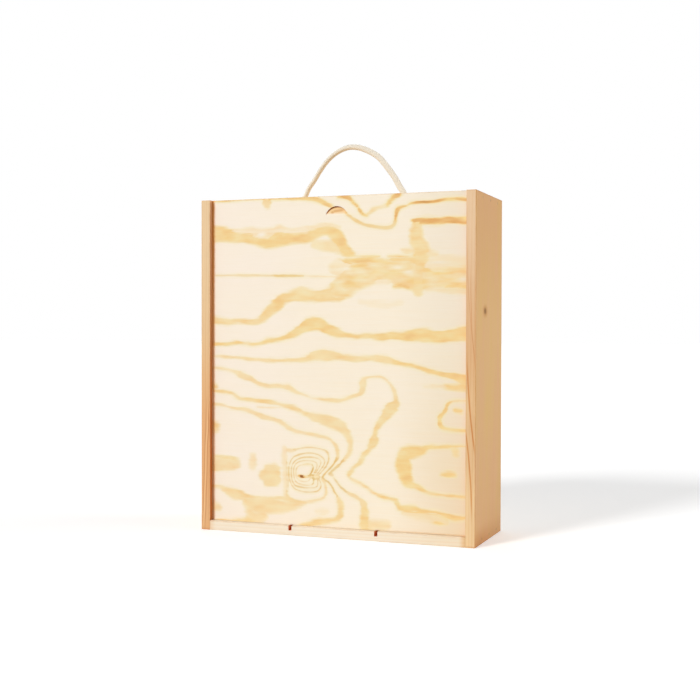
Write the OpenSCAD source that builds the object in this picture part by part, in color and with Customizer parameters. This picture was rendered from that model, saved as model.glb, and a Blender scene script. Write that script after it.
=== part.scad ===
// Upright pine box for bottles. Two grooved side boards hold a plywood lid that slides up and
// out. Two plywood dividers stand in slots and part the inside into three equal bays.
// A soft cord passes through two holes in the top board and is knotted under it.
// The origin is the centre of the footprint. +Z is up, and the lid faces -Y.

/* [Box] */
// Width over the two side boards
box_w = 296; // [260:1:360]
// Depth from the front edges of the boards to the outer face of the back panel
box_d = 105; // [92:1:140]
// Height over the top and bottom boards
box_h = 345; // [280:1:420]

/* [Boards] */
// Thickness of the two side boards
side_t = 10; // [9:0.5:14]
// Thickness of the top board
top_t = 10; // [9:0.5:14]
// Thickness of the bottom board
bottom_t = 10; // [9:0.5:14]

/* [Back panel] */
// Thickness of the back panel
back_t = 4; // [3:0.5:6]
// How far the back panel laps over each side board
back_lap = 5; // [4:0.5:6]
// Gap between the back panel and the walls of its rebates
back_gap = 0.2; // [0.1:0.05:0.4]

/* [Sliding lid] */
// Thickness of the lid
lid_t = 4; // [3:0.5:6]
// Wood left in front of the grooves that the lid runs in
lip_w = 5; // [4:0.5:8]
// Depth of the lid's grooves in the side boards
groove_deep = 5; // [3:0.5:6]
// Running gap in front of the lid, and the same behind it
lid_gap = 0.3; // [0.3:0.05:0.6]
// Gap between each edge of the lid and the floor of its groove
lid_edge_gap = 0.5; // [0.3:0.1:1]
// Gap between the foot of the closed lid and the bottom board
lid_foot_gap = 0.3; // [0.3:0.05:0.6]

/* [Thumb notch] */
// Width of the notch along its straight lower edge
notch_w = 24; // [20:1:30]
// Height of the notch from its straight edge to the top of its arc
notch_h = 9; // [7:0.5:10]
// Depth of the notch at the top of its arc
notch_deep = 1.8; // [1:0.1:2.4]
// Distance from the top edge of the lid down to the arc
notch_top = 10.5; // [6:0.5:20]
// Sideways place of the notch from the middle of the lid
notch_x = 2; // [-6:1:6]

/* [Dividers] */
// Thickness of the dividers
divider_t = 3; // [2.5:0.5:5]
// Depth of the dividers' slots in the top and bottom boards
slot_deep = 5; // [3:0.5:6]
// Gap on each side of a divider in its slots
slot_gap = 0.2; // [0.1:0.05:0.5]
// Free height between the top of a divider and the floor of its upper slot
divider_head_gap = 0.5; // [0.3:0.1:1.5]
// Gap between a divider and the lid's groove line in front of it
divider_front_gap = 0.5; // [0.2:0.1:2]
// Gap between a divider and the back panel
divider_back_gap = 0.3; // [0.1:0.1:1]

/* [Cord handle] */
// Diameter of the cord
cord_d = 5.4; // [4.5:0.1:6]
// Distance between the cord's two holes
hole_spacing = 114; // [112:1:122]
// Gap all round the cord in its holes
hole_gap = 0.5; // [0.3:0.1:1]
// Width of the eased rim of each hole
hole_rim = 0.6; // [0.4:0.1:1]
// Height of the middle of the cord over the top board
arch_h = 56; // [45:1:70]
// Gap between the cord's arch and the cord in the hole under it, where it bends
bend_gap = 0.3; // [0.3:0.05:0.6]
// Diameter of each knot
knot_d = 13; // [12:0.5:14]
// Distance between the two turns of a knot
knot_pitch = 4.6; // [4:0.2:5]
// Gap between a knot and the underside of the top board
knot_gap = 0.2; // [0.1:0.1:0.5]
// Length of the cord's end below each knot
tail_len = 9; // [5:1:20]

/* [Corner pins] */
// Diameter of the pins that join the corners
pin_d = 1.4; // [1:0.1:1.8]
// Length of a corner pin with its head
pin_len = 28; // [20:1:34]
// Diameter of a corner pin's head
pin_head_d = 2.6; // [2.2:0.1:3.2]
// Thickness of a corner pin's head
pin_head_t = 0.6; // [0.4:0.1:1]
// Number of pins in each corner
pin_count = 3; // [2:1:5]
// Distance from the lid's groove, and from the back panel, to the nearest corner pin
pin_inset = 16; // [8:1:20]

/* [Back tacks] */
// Diameter of the tacks that hold the back panel
tack_d = 1.2; // [0.8:0.1:1.5]
// Length of a tack with its head
tack_len = 14; // [10:1:18]
// Diameter of a tack's head
tack_head_d = 2.4; // [2:0.1:3]
// Thickness of a tack's head
tack_head_t = 0.6; // [0.4:0.1:1]
// Number of tacks along each side board
tack_count = 5; // [3:1:7]
// Distance from the top and bottom of the box to the nearest tack in a side board
tack_inset = 28; // [20:1:40]

/* [Fit of the fixings] */
// Gap all round a pin or tack in the wood
fixing_gap = 0.05; // [0.02:0.01:0.1]

/* [Hidden] */

$fn = 48;
cut = 1;
left = -1;
right = 1;

side_board_color = [0.87, 0.71, 0.51];
end_board_color = [0.95, 0.86, 0.70];
lid_color = [0.96, 0.90, 0.77];
plywood_color = [0.93, 0.85, 0.70];
cord_color = [0.93, 0.88, 0.79];
steel_color = [0.62, 0.62, 0.60];

// Depth levels, from the front to the back
front_y = -box_d / 2;
back_y = box_d / 2;
groove_front_y = front_y + lip_w;
lid_front_y = groove_front_y + lid_gap;
lid_back_y = lid_front_y + lid_t;
groove_back_y = lid_back_y + lid_gap;
panel_y = back_y - back_t;
cord_y = (groove_back_y + panel_y) / 2;

// Widths and heights of the inside
inner_w = box_w - 2 * side_t;
top_z = box_h - top_t;
bay_w = (inner_w - 2 * divider_t) / 3;
divider_x = (bay_w + divider_t) / 2;

// Notch: its arc is part of a round cut, whose floor slopes in from the straight edge
notch_r = (pow(notch_w / 2, 2) + pow(notch_h, 2)) / (2 * notch_h);
notch_slope = atan(notch_deep / notch_h);
notch_foot_z = box_h - notch_top - notch_h;

// Fixings
pin_y = spread(groove_back_y + pin_inset, panel_y - pin_inset, pin_count);
tack_z = spread(tack_inset, box_h - tack_inset, tack_count);
tack_x = box_w / 2 - side_t + back_lap / 2;
bay_x = [for (bay = [-1:1]) bay * (bay_w + divider_t)];
bay_tack_x = [for (x = bay_x) for (quarter = [-bay_w / 4, bay_w / 4]) x + quarter];

// Cord: the level at which it bends, and its route as [across, up] from the middle of the holes
hole_d = cord_d + 2 * hole_gap;
bend_h = cord_d / 2 + bend_gap;
cord_sides = 12;
dome_angles = [60, 30];
route_w = 114;
route_h = 56;
route = [
    [-57, 3], [-53, 7], [-49, 15], [-43, 23], [-37, 32], [-30, 41], [-23, 47.5], [-16, 52],
    [-10, 54.5], [-4, 56], [2, 56], [8, 55], [15, 52.5], [23, 48.5], [30, 43.5], [36.5, 36],
    [42, 29], [47.5, 21], [52, 13], [56, 7], [57, 3]
];
route_foot = route[0][1];
arch = [
    for (p = route)
        [
            p[0] * hole_spacing / route_w,
            cord_y,
            box_h + bend_h + (p[1] - route_foot) * (arch_h - bend_h) / (route_h - route_foot)
        ]
];

// Evenly spaced values from the first to the last
function spread(first, last, count) =
    [for (i = [0:count - 1]) first + (last - first) * i / (count - 1)];

// Direction of a route at one of its points
function heading(points, i) =
    let (step = points[min(i + 1, len(points) - 1)] - points[max(i - 1, 0)])
    step / norm(step);

// One ring of a tube: points round a centre, square to a heading that has no part along Y
function ring(centre, along, radius) =
    let (across = [0, 1, 0], normal = cross(along, across))
    [
        for (side = [0:cord_sides - 1])
            let (angle = 360 * side / cord_sides)
            centre + radius * (cos(angle) * across + sin(angle) * normal)
    ];

// Rings that round off an end of a tube. Its sign is -1 at the start and 1 at the far end.
function dome(centre, along, radius, sign) =
    let (angles = sign < 0 ? dome_angles : [for (i = [len(dome_angles) - 1:-1:0]) dome_angles[i]])
    [
        for (angle = angles)
            ring(centre + sign * radius * sin(angle) * along, along, radius * cos(angle))
    ];

// Tube with round ends along a route that stays in one upright plane
module tube(points, radius) {
    last = len(points) - 1;
    start_heading = heading(points, 0);
    end_heading = heading(points, last);
    rings = concat(
        dome(points[0], start_heading, radius, -1),
        [for (i = [0:last]) ring(points[i], heading(points, i), radius)],
        dome(points[last], end_heading, radius, 1)
    );
    poles = [points[0] - radius * start_heading, points[last] + radius * end_heading];
    skin = [for (r = rings) for (p = r) p];
    first_pole = len(skin);
    last_ring = len(rings) - 1;
    walls = [
        for (i = [0:last_ring - 1])
            for (k = [0:cord_sides - 1])
                let (
                    a = i * cord_sides + k,
                    b = i * cord_sides + (k + 1) % cord_sides,
                    c = b + cord_sides,
                    d = a + cord_sides
                )
                each [[a, b, c], [a, c, d]]
    ];
    start_cap = [for (k = [0:cord_sides - 1]) [first_pole, (k + 1) % cord_sides, k]];
    end_cap = [
        for (k = [0:cord_sides - 1])
            let (base = last_ring * cord_sides)
            [first_pole + 1, base + k, base + (k + 1) % cord_sides]
    ];
    polyhedron(points = concat(skin, poles), faces = concat(walls, start_cap, end_cap));
}

// Headed pin along +Z, whose head is flush with the plane z = 0 and points up from below
module headed_pin(shank_d, head_d, head_t, length, gap = 0) {
    translate([0, 0, -length - gap])
        cylinder(d = shank_d + 2 * gap, h = length + gap);
    translate([0, 0, -head_t - gap])
        cylinder(d = head_d + 2 * gap, h = head_t + gap);
}

// Corner pins of one side board at one height, or the holes that take them
module corner_pins(side, z, gap = 0) {
    for (y = pin_y)
        translate([side * box_w / 2, y, z])
            rotate([0, side * 90, 0])
                headed_pin(pin_d, pin_head_d, pin_head_t, pin_len, gap);
}

// One tack through the back panel, or the hole that takes it
module tack(x, z, gap = 0) {
    translate([x, back_y, z])
        rotate([-90, 0, 0])
            headed_pin(tack_d, tack_head_d, tack_head_t, tack_len, gap);
}

module side_tacks(side, gap = 0) {
    for (z = tack_z)
        tack(side * tack_x, z, gap);
}

module bay_tacks(z, gap = 0) {
    for (x = bay_tack_x)
        tack(x, z, gap);
}

// Slots that both dividers stand in, cut into a board from below_z up to above_z
module divider_slots(below_z, above_z) {
    slot_w = divider_t + 2 * slot_gap;
    for (side = [left, right])
        translate([side * divider_x - slot_w / 2, front_y - cut, below_z])
            cube([slot_w, box_d + 2 * cut, above_z - below_z]);
}

module side_board(side) {
    inner_x = box_w / 2 - side_t;
    color(side_board_color)
        difference() {
            translate([side * (inner_x + side_t / 2) - side_t / 2, front_y, 0])
                cube([side_t, box_d, box_h]);
            translate([side > 0 ? inner_x - cut : -inner_x - groove_deep, groove_front_y, -cut])
                cube([groove_deep + cut, groove_back_y - groove_front_y, box_h + 2 * cut]);
            translate([side > 0 ? inner_x - cut : -inner_x - back_lap, panel_y, -cut])
                cube([back_lap + cut, back_t + cut, box_h + 2 * cut]);
            corner_pins(side, bottom_t / 2, fixing_gap);
            corner_pins(side, box_h - top_t / 2, fixing_gap);
            side_tacks(side, fixing_gap);
        }
}

module bottom_board() {
    color(end_board_color)
        difference() {
            translate([-inner_w / 2, front_y, 0])
                cube([inner_w, panel_y - front_y, bottom_t]);
            divider_slots(bottom_t - slot_deep, bottom_t + cut);
            for (side = [left, right])
                corner_pins(side, bottom_t / 2, fixing_gap);
            bay_tacks(bottom_t / 2, fixing_gap);
        }
}

module top_board() {
    color(end_board_color)
        difference() {
            translate([-inner_w / 2, groove_back_y, top_z])
                cube([inner_w, panel_y - groove_back_y, top_t]);
            divider_slots(top_z - cut, top_z + slot_deep);
            for (side = [left, right]) {
                corner_pins(side, box_h - top_t / 2, fixing_gap);
                translate([side * hole_spacing / 2, cord_y, 0]) {
                    translate([0, 0, top_z - cut])
                        cylinder(d = hole_d, h = top_t + 2 * cut);
                    translate([0, 0, box_h - hole_rim])
                        cylinder(d1 = hole_d, d2 = hole_d + 2 * (hole_rim + cut), h = hole_rim + cut);
                }
            }
            bay_tacks(box_h - top_t / 2, fixing_gap);
        }
}

module back_panel() {
    panel_w = inner_w + 2 * (back_lap - back_gap);
    color(plywood_color)
        difference() {
            translate([-panel_w / 2, panel_y, 0])
                cube([panel_w, back_t, box_h]);
            for (side = [left, right])
                side_tacks(side, fixing_gap);
            bay_tacks(bottom_t / 2, fixing_gap);
            bay_tacks(box_h - top_t / 2, fixing_gap);
        }
}

module lid() {
    lid_w = inner_w + 2 * (groove_deep - lid_edge_gap);
    foot_z = bottom_t + lid_foot_gap;
    color(lid_color)
        difference() {
            translate([-lid_w / 2, lid_front_y, foot_z])
                cube([lid_w, lid_t, box_h - foot_z]);
            translate([notch_x, lid_front_y, notch_foot_z])
                rotate([90 - notch_slope, 0, 0])
                    translate([0, notch_h - notch_r, 0])
                        cylinder(r = notch_r, h = notch_h);
        }
}

module divider(side) {
    foot_z = bottom_t - slot_deep;
    head_z = top_z + slot_deep - divider_head_gap;
    divider_y = groove_back_y + divider_front_gap;
    color(plywood_color)
        translate([side * divider_x - divider_t / 2, divider_y, foot_z])
            cube([divider_t, panel_y - divider_back_gap - divider_y, head_z - foot_z]);
}

module handle_cord() {
    color(cord_color)
        tube(arch, cord_d / 2);
}

// Cord inside a hole, with the two turns of its knot and its tail below the board
module cord_end(side) {
    turn_r = (knot_d - cord_d) / 2;
    knot_z = top_z - knot_gap - cord_d / 2;
    tail_z = knot_z - knot_pitch - cord_d / 2 - tail_len;
    color(cord_color)
        translate([side * hole_spacing / 2, cord_y, 0])
            rotate_extrude()
                union() {
                    translate([0, tail_z])
                        square([cord_d / 2, box_h - tail_z]);
                    for (turn = [0:1])
                        translate([turn_r, knot_z - turn * knot_pitch])
                            circle(d = cord_d);
                }
}

module pins(side, z) {
    color(steel_color)
        corner_pins(side, z);
}

module tacks_side(side) {
    color(steel_color)
        side_tacks(side);
}

module tacks_bay(z) {
    color(steel_color)
        bay_tacks(z);
}

side_board(left);  // side_board_left
side_board(right);  // side_board_right
bottom_board();
top_board();
back_panel();
lid();
divider(left);  // divider_left
divider(right);  // divider_right
handle_cord();
cord_end(left);  // cord_end_left
cord_end(right);  // cord_end_right
pins(left, box_h - top_t / 2);  // pins_top_left
pins(right, box_h - top_t / 2);  // pins_top_right
pins(left, bottom_t / 2);  // pins_bottom_left
pins(right, bottom_t / 2);  // pins_bottom_right
tacks_side(left);  // tacks_left
tacks_side(right);  // tacks_right
tacks_bay(box_h - top_t / 2);  // tacks_top
tacks_bay(bottom_t / 2);  // tacks_bottom
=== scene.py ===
import math

import bpy
import bmesh
import numpy as np
from mathutils import Matrix, Vector
from mathutils.geometry import delaunay_2d_cdt


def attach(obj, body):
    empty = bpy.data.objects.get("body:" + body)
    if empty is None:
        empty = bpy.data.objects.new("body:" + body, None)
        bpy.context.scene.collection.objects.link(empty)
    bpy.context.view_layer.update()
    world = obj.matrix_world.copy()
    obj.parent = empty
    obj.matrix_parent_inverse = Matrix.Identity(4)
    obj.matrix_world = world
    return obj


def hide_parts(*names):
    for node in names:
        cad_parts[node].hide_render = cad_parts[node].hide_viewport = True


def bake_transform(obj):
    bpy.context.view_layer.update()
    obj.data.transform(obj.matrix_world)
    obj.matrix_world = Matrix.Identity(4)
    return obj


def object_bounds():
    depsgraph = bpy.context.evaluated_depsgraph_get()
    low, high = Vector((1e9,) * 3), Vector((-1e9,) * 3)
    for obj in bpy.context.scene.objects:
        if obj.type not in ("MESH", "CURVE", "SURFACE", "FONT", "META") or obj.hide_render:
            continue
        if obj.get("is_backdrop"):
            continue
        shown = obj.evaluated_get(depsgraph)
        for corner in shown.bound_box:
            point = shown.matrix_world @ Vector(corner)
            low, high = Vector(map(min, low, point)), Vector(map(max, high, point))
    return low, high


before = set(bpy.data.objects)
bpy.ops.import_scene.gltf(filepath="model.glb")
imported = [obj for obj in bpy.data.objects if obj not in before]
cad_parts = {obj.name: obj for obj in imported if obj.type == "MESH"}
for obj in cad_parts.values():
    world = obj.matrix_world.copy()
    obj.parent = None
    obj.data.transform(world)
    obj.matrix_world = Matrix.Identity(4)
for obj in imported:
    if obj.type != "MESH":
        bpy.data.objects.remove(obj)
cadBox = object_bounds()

mm = 0.001
scene = bpy.context.scene

box = dict(  # the case, in millimetres from the middle of its foot
    half=148,
    inside=138,
    front=-52.5,
    back=52.5,
    rebate=48.5,  # where the back panel starts
    board=10,
    top=345,
)


# small helpers

def srgb(red, green, blue):
    # a colour given from 0 to 255, as the linear values that nodes want
    return tuple((c / 255) ** 2.2 for c in (red, green, blue))


def rgba(red, green, blue):
    return srgb(red, green, blue) + (1.0,)


def meshPiece(name, points, faces, scale=mm):
    # points in millimetres, object left at the origin
    mesh = bpy.data.meshes.new(name)
    mesh.from_pydata([tuple(c * scale for c in p) for p in points], [], [tuple(f) for f in faces])
    mesh.validate()
    piece = bpy.data.objects.new(name, mesh)
    scene.collection.objects.link(piece)
    return piece


def smoothLine(points, steps):
    # Catmull-Rom curve through rows of numbers, with so many steps in each span
    p = np.array(points, float)
    p = np.vstack([2 * p[0] - p[1], p, 2 * p[-1] - p[-2]])
    rows = []
    for i in range(1, len(p) - 2):
        a, b, c, d = p[i - 1], p[i], p[i + 1], p[i + 2]
        for k in range(steps):
            t = k / steps
            rows.append(0.5 * (2 * b + (c - a) * t + (2 * a - 5 * b + 4 * c - d) * t * t
                               + (3 * b - a - 3 * c + d) * t ** 3))
    rows.append(p[-2])
    return np.array(rows)


def evenly(line, gap):
    # the same line with its points a fixed gap apart
    run = runAlong(line)
    marks = np.linspace(0, run[-1], max(2, int(round(run[-1] / gap)) + 1))
    return np.stack([np.interp(marks, run, line[:, k]) for k in range(line.shape[1])], 1), run[-1]


# the camera

view = dict(
    spot=(0.43174, -1.13993, 0.21168),
    turn=20.795,  # degrees to the left of straight at the lid
    tip=-1.067,
    roll=0.12,
    lens=59.9,
    sensor=36,
    near=0.05,
    far=60,
)


def makeCamera():
    turn, tip, roll = (math.radians(view[k]) for k in ("turn", "tip", "roll"))
    ahead = Vector((-math.sin(turn) * math.cos(tip), math.cos(turn) * math.cos(tip), math.sin(tip)))
    side = Vector((math.cos(turn), math.sin(turn), 0))
    up = side.cross(ahead)
    right = side * math.cos(roll) + up * math.sin(roll)
    top = up * math.cos(roll) - side * math.sin(roll)
    data = bpy.data.cameras.new("camera")
    data.lens = view["lens"]
    data.sensor_width = view["sensor"]
    data.clip_start = view["near"]
    data.clip_end = view["far"]
    camera = bpy.data.objects.new("camera", data)
    axes = Matrix((right, top, -ahead)).transposed().to_4x4()
    camera.matrix_world = Matrix.Translation(view["spot"]) @ axes
    scene.collection.objects.link(camera)
    scene.camera = camera


makeCamera()
print("camera set")


# the cord handle

cordHandle = dict(
    route=[  # across, up from the top of the box
        (-57, 3), (-53, 7), (-49, 15), (-43, 23), (-37, 32), (-30, 41), (-23, 47.5), (-16, 52),
        (-10, 54.5), (-4, 56), (2, 56), (8, 55), (15, 52.5), (23, 48.5), (30, 43.5), (36.5, 36),
        (42, 29), (47.5, 21), (52, 13), (56, 7), (57, 3)
    ],
    depth=2.8,  # how far behind the middle of the box the holes are
    wide=3.15,  # half the flattened section's long side
    narrow=2.2,
    inHole=2.65,
    intoHole=1.6,  # how far the arch reaches down into its holes
    strands=14,
    pitch=9.0,  # length of one turn of a strand
    relief=0.11,
    ringGap=0.42,
    sides=56,
    curveSteps=12,  # between two points of the route
    turnFrom=0.18,  # share of the arch where the flat section starts to turn
    turnTo=0.8,
    settle=6,  # height over which the section goes round at the holes
    pathStep=8,  # rings between two points of the path that is handed on
    capBulge=0.5,  # how far a closed end stands out, as a share of its width
)


def runAlong(line):
    return np.concatenate([[0], np.cumsum(np.linalg.norm(np.diff(line, axis=0), axis=1))])


def headings(line):
    ahead = np.gradient(line, axis=0)
    return ahead / np.linalg.norm(ahead, axis=1)[:, None]


def braidTube(name, line, halfWide, halfDeep, across, sides):
    # closed tube round a line; the braid stands up in low lozenges. Lines and sizes in millimetres.
    strands, pitch, relief = (cordHandle[k] for k in ("strands", "pitch", "relief"))
    count = len(line)
    ahead = headings(line)
    run = runAlong(line)
    outward = np.cross(ahead, across)
    outward /= np.linalg.norm(outward, axis=1)[:, None]
    sideways = np.cross(outward, ahead)
    angles = np.arange(sides) / sides * 2 * math.pi
    points = []
    for i in range(count):
        a, b = halfWide[i], halfDeep[i]
        radius = a * b / np.sqrt((b * np.cos(angles)) ** 2 + (a * np.sin(angles)) ** 2)
        twist = run[i] / pitch * 2 * math.pi
        one = np.cos(strands / 2 * (angles + twist))
        two = np.cos(strands / 2 * (angles - twist))
        weave = np.maximum(one, two) * 0.5 + 0.5 * np.abs(one - two) - 0.5
        radius = radius + relief * weave
        ring = (line[i] + outward[i] * (np.cos(angles) * radius)[:, None]
                + sideways[i] * (np.sin(angles) * radius)[:, None])
        points.extend(ring)
    first = len(points)
    bulge = cordHandle["capBulge"]
    points.append(line[0] - ahead[0] * halfWide[0] * bulge)
    points.append(line[-1] + ahead[-1] * halfWide[-1] * bulge)
    faces, corners = [], []
    turns = run / pitch
    for i in range(count - 1):
        for k in range(sides):
            n = (k + 1) % sides
            faces.append((i * sides + k, (i + 1) * sides + k, (i + 1) * sides + n, i * sides + n))
            u0, u1 = k / sides, (k + 1) / sides
            v0, v1 = turns[i], turns[i + 1]
            corners.extend([(u0, v0), (u0, v1), (u1, v1), (u1, v0)])
    last = (count - 1) * sides
    for k in range(sides):
        n = (k + 1) % sides
        faces.append((first, k, n))
        corners.extend([(0.5, turns[0]), (k / sides, turns[0]), (n / sides, turns[0])])
        faces.append((first + 1, last + n, last + k))
        corners.extend([(0.5, turns[-1]), (n / sides, turns[-1]), (k / sides, turns[-1])])
    piece = meshPiece(name, points, faces)
    layer = piece.data.uv_layers.new(name="alongCord")
    layer.data.foreach_set("uv", np.array(corners, float).ravel())
    fixNormals(piece)
    for face in piece.data.polygons:
        face.use_smooth = True
    return piece


def openEdges(shell):
    return sum(1 for edge in shell.edges if len(edge.link_faces) != 2)


def fixNormals(piece, weld=0):
    shell = bmesh.new()
    shell.from_mesh(piece.data)
    if weld:
        bmesh.ops.remove_doubles(shell, verts=shell.verts, dist=weld)
    bmesh.ops.recalc_face_normals(shell, faces=shell.faces)
    if shell.calc_volume(signed=True) < 0:
        bmesh.ops.reverse_faces(shell, faces=shell.faces)
    shell.to_mesh(piece.data)
    gaps = openEdges(shell)
    shell.free()
    return gaps


def easeAt(value, low, high):
    t = np.clip((value - low) / (high - low), 0, 1)
    return t * t * (3 - 2 * t)


def makeArch():
    c = cordHandle
    flat = [(x, box["top"] + z) for x, z in c["route"]]
    foot = box["top"] - c["intoHole"]
    flat = [(flat[0][0], foot)] + flat + [(flat[-1][0], foot)]
    route = [(x, c["depth"], z) for x, z in flat]
    line, length = evenly(smoothLine(route, c["curveSteps"]), c["ringGap"])
    # a flattened cord that turns a quarter along the arch: edge on at the left, flat on at the right
    along = np.linspace(0, 1, len(line))
    turned = easeAt(along, c["turnFrom"], c["turnTo"]) * 0.5 * math.pi
    wide = np.sqrt((c["narrow"] * np.cos(turned)) ** 2 + (c["wide"] * np.sin(turned)) ** 2)
    deep = np.sqrt((c["wide"] * np.cos(turned)) ** 2 + (c["narrow"] * np.sin(turned)) ** 2)
    ends = easeAt(line[:, 2] - box["top"], 0, c["settle"])
    wide = c["inHole"] + (wide - c["inHole"]) * ends
    deep = c["inHole"] + (deep - c["inHole"]) * ends
    across = np.array([0.0, 1.0, 0.0])
    piece = braidTube("handle_cord_braid", line, wide, deep, across, c["sides"])
    path = line[::c["pathStep"]].tolist()
    if path[-1] != line[-1].tolist():
        path.append(line[-1].tolist())
    print("arch length", round(length, 1), "mm,", len(line), "rings")
    return piece, [[v * mm for v in p] for p in path], length * mm


archCord, archPath, archLength = makeArch()


# the cord's knotted ends

cordEnd = dict(
    apart=57,
    knotHeight=329.8,  # middle of the knot
    top=343.2,
    tailFoot=316,
    knot=[  # an overhand knot drawn tight, in millimetres from its middle, from the hole to the tail
        (0, 0, 8), (0.2, -0.2, 4.6), (1.6, -2.2, 2.5), (3.9, -2.4, 0.3), (4.1, 1.2, -2.0),
        (0.8, 3.9, -2.2), (-3.4, 3.0, -0.6), (-4.3, -0.9, 1.4), (-1.8, -3.9, 1.6), (2.2, -3.4, -1.2),
        (2.6, -0.2, -2.6), (0.6, 1.4, -4.2), (0, 0.3, -7.5)
    ],
    slack=2.35,  # half the cord's thickness where the knot squeezes it
    squeeze=(4.5, 8.5),  # distance from the knot over which that ends
    leaves=340.5,  # where the cord leaves its hole
    tailBend=(0.3, 0.2, 3),  # the tail's last but one point, from its foot
    tailLean=0.5,
    fray=1.6,  # length of the frayed tip
    frayed=0.12,  # how much thinner it gets
    ringGap=0.5,
    curveSteps=10,
    sides=44,
)


def makeCordEnd(name, side):
    c, e = cordHandle, cordEnd
    hole, depth = side * e["apart"], c["depth"]
    middle = np.array([hole, depth, e["knotHeight"]])
    turn = np.array([[side, 0, 0], [0, 1, 0], [0, 0, 1.0]])
    bx, by, bz = e["tailBend"]
    points = [(hole, depth, e["top"]), (hole, depth, e["leaves"])]
    points += [tuple(middle + turn @ np.array(p)) for p in e["knot"]]
    points += [(hole + bx, depth + by, e["tailFoot"] + bz), (hole + e["tailLean"], depth, e["tailFoot"])]
    line, length = evenly(smoothLine(points, e["curveSteps"]), e["ringGap"])
    squeezed = 1 - easeAt(np.abs(line[:, 2] - e["knotHeight"]), *e["squeeze"])
    radius = c["inHole"] + (e["slack"] - c["inHole"]) * squeezed
    frayed = easeAt(np.linspace(0, length, len(line)), length - e["fray"], length)
    radius = radius * (1 - e["frayed"] * frayed)
    # the tube's first side follows the line so that it never flips
    across = np.zeros_like(line)
    held = np.array([0.0, 1.0, 0.0])
    for i, way in enumerate(headings(line)):
        held = held - way * float(held @ way)
        held /= np.linalg.norm(held)
        across[i] = held
    piece = braidTube(name, line, radius, radius, across, e["sides"])
    print(name, "length", round(length, 1), "mm")
    return piece


endPieces = [makeCordEnd("cord_knot_left", -1), makeCordEnd("cord_knot_right", 1)]


# shader maths is written with this class

class Wire:
    # one output of a node; + - * / on it add Math nodes
    def __init__(self, tree, socket=None):
        self.tree = tree
        self.socket = socket

    def node(self, kind, settings, inputs, output=0):
        made = self.tree.nodes.new("ShaderNode" + kind)
        for name, value in settings.items():
            if name == "stops":
                ramp = made.color_ramp
                while len(ramp.elements) < len(value):
                    ramp.elements.new(0.5)
                for stop, (at, colour) in zip(ramp.elements, value):
                    stop.position = at
                    stop.color = colour
            else:
                setattr(made, name, value)
        for name, value in inputs.items():
            if isinstance(name, int):
                target = made.inputs[name]
            else:
                target = next(s for s in made.inputs if s.name == name and s.enabled)
            if isinstance(value, Wire):
                self.tree.links.new(value.socket, target)
            else:
                target.default_value = value
        if not made.outputs:
            return None
        if isinstance(output, int):
            return Wire(self.tree, made.outputs[output])
        return Wire(self.tree, next(s for s in made.outputs if s.name == output and s.enabled))

    def math(self, operation, first, second=0.0, third=0.0):
        return self.node("Math", {"operation": operation}, {0: first, 1: second, 2: third})

    def __add__(self, other):
        return self.math("ADD", self, other)

    def __radd__(self, other):
        return self.math("ADD", other, self)

    def __sub__(self, other):
        return self.math("SUBTRACT", self, other)

    def __rsub__(self, other):
        return self.math("SUBTRACT", other, self)

    def __mul__(self, other):
        return self.math("MULTIPLY", self, other)

    def __rmul__(self, other):
        return self.math("MULTIPLY", other, self)

    def __truediv__(self, other):
        return self.math("DIVIDE", self, other)

    def __neg__(self):
        return self.math("MULTIPLY", self, -1.0)

    def size(self):
        return self.math("ABSOLUTE", self)

    def root(self):
        return self.math("SQRT", self)

    def wave(self):
        return self.math("SINE", self)

    def most(self, other):
        return self.math("MAXIMUM", self, other)

    def least(self, other):
        return self.math("MINIMUM", self, other)

    def above(self, low, high):
        # 0 below low, 1 above high, and eased between
        return self.node("MapRange", {"interpolation_type": "SMOOTHSTEP"},
                         {"Value": self, "From Min": low, "From Max": high}, "Result")

    def below(self, low, high):
        return 1 - self.above(low, high)

    def between(self, low, high, soft):
        return self.above(low - soft, low + soft) * self.below(high - soft, high + soft)

    def share(self):
        # -1 to 1 becomes 0 to 1
        return self * 0.5 + 0.5

    def stretched(self, x, y, z):
        return self.node("VectorMath", {"operation": "MULTIPLY"}, {0: self, 1: (x, y, z)})

    def moved(self, x, y, z):
        return self.node("VectorMath", {"operation": "ADD"}, {0: self, 1: (x, y, z)})

    def parts(self):
        split = self.node("SeparateXYZ", {}, {"Vector": self})
        outs = split.socket.node.outputs
        return [Wire(self.tree, outs[k]) for k in range(3)]

    def joined(self, x, y, z):
        return self.node("CombineXYZ", {}, {"X": x, "Y": y, "Z": z})

    def facing(self):
        # how far the surface looks along x, y and z
        return self.node("NewGeometry", {}, {}, "Normal").parts()

    def noise(self, scale=1.0, detail=2.0, rough=0.5):
        # about -1 to 1
        made = self.node("TexNoise", {}, {"Vector": self, "Scale": scale, "Detail": detail,
                                          "Roughness": rough})
        return made * 2.0 - 1.0

    def tint(self, factor, first, second, blend="MIX"):
        return self.node("Mix", {"data_type": "RGBA", "blend_type": blend, "clamp_factor": True},
                         {"Factor": factor, "A": first, "B": second}, "Result")

    def painted(self, factor, tone):
        return self.tint(factor, self, tone)

    def stained(self, factor, tone):
        # as a thin glaze, which can only darken
        return self.tint(factor, self, tone, "MULTIPLY")


def newMaterial(name):
    material = bpy.data.materials.new(name)
    material.use_nodes = True
    material.node_tree.nodes.clear()
    pen = Wire(material.node_tree)
    spot = pen.node("TexCoord", {}, {}, "Object")
    spot = spot.node("VectorMath", {"operation": "SCALE"}, {0: spot, "Scale": 1000.0})
    return material, pen, spot


def finishMaterial(pen, colour, rough, height, depth, settings):
    # height is in millimetres times depth
    bump = pen.node("Bump", {}, {"Height": height, "Strength": 1.0, "Distance": depth * mm})
    shader = pen.node("BsdfPrincipled", {}, {"Base Color": colour, "Roughness": rough, "Normal": bump,
                                             **settings})
    pen.node("OutputMaterial", {}, {"Surface": shader})


# pine

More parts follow.
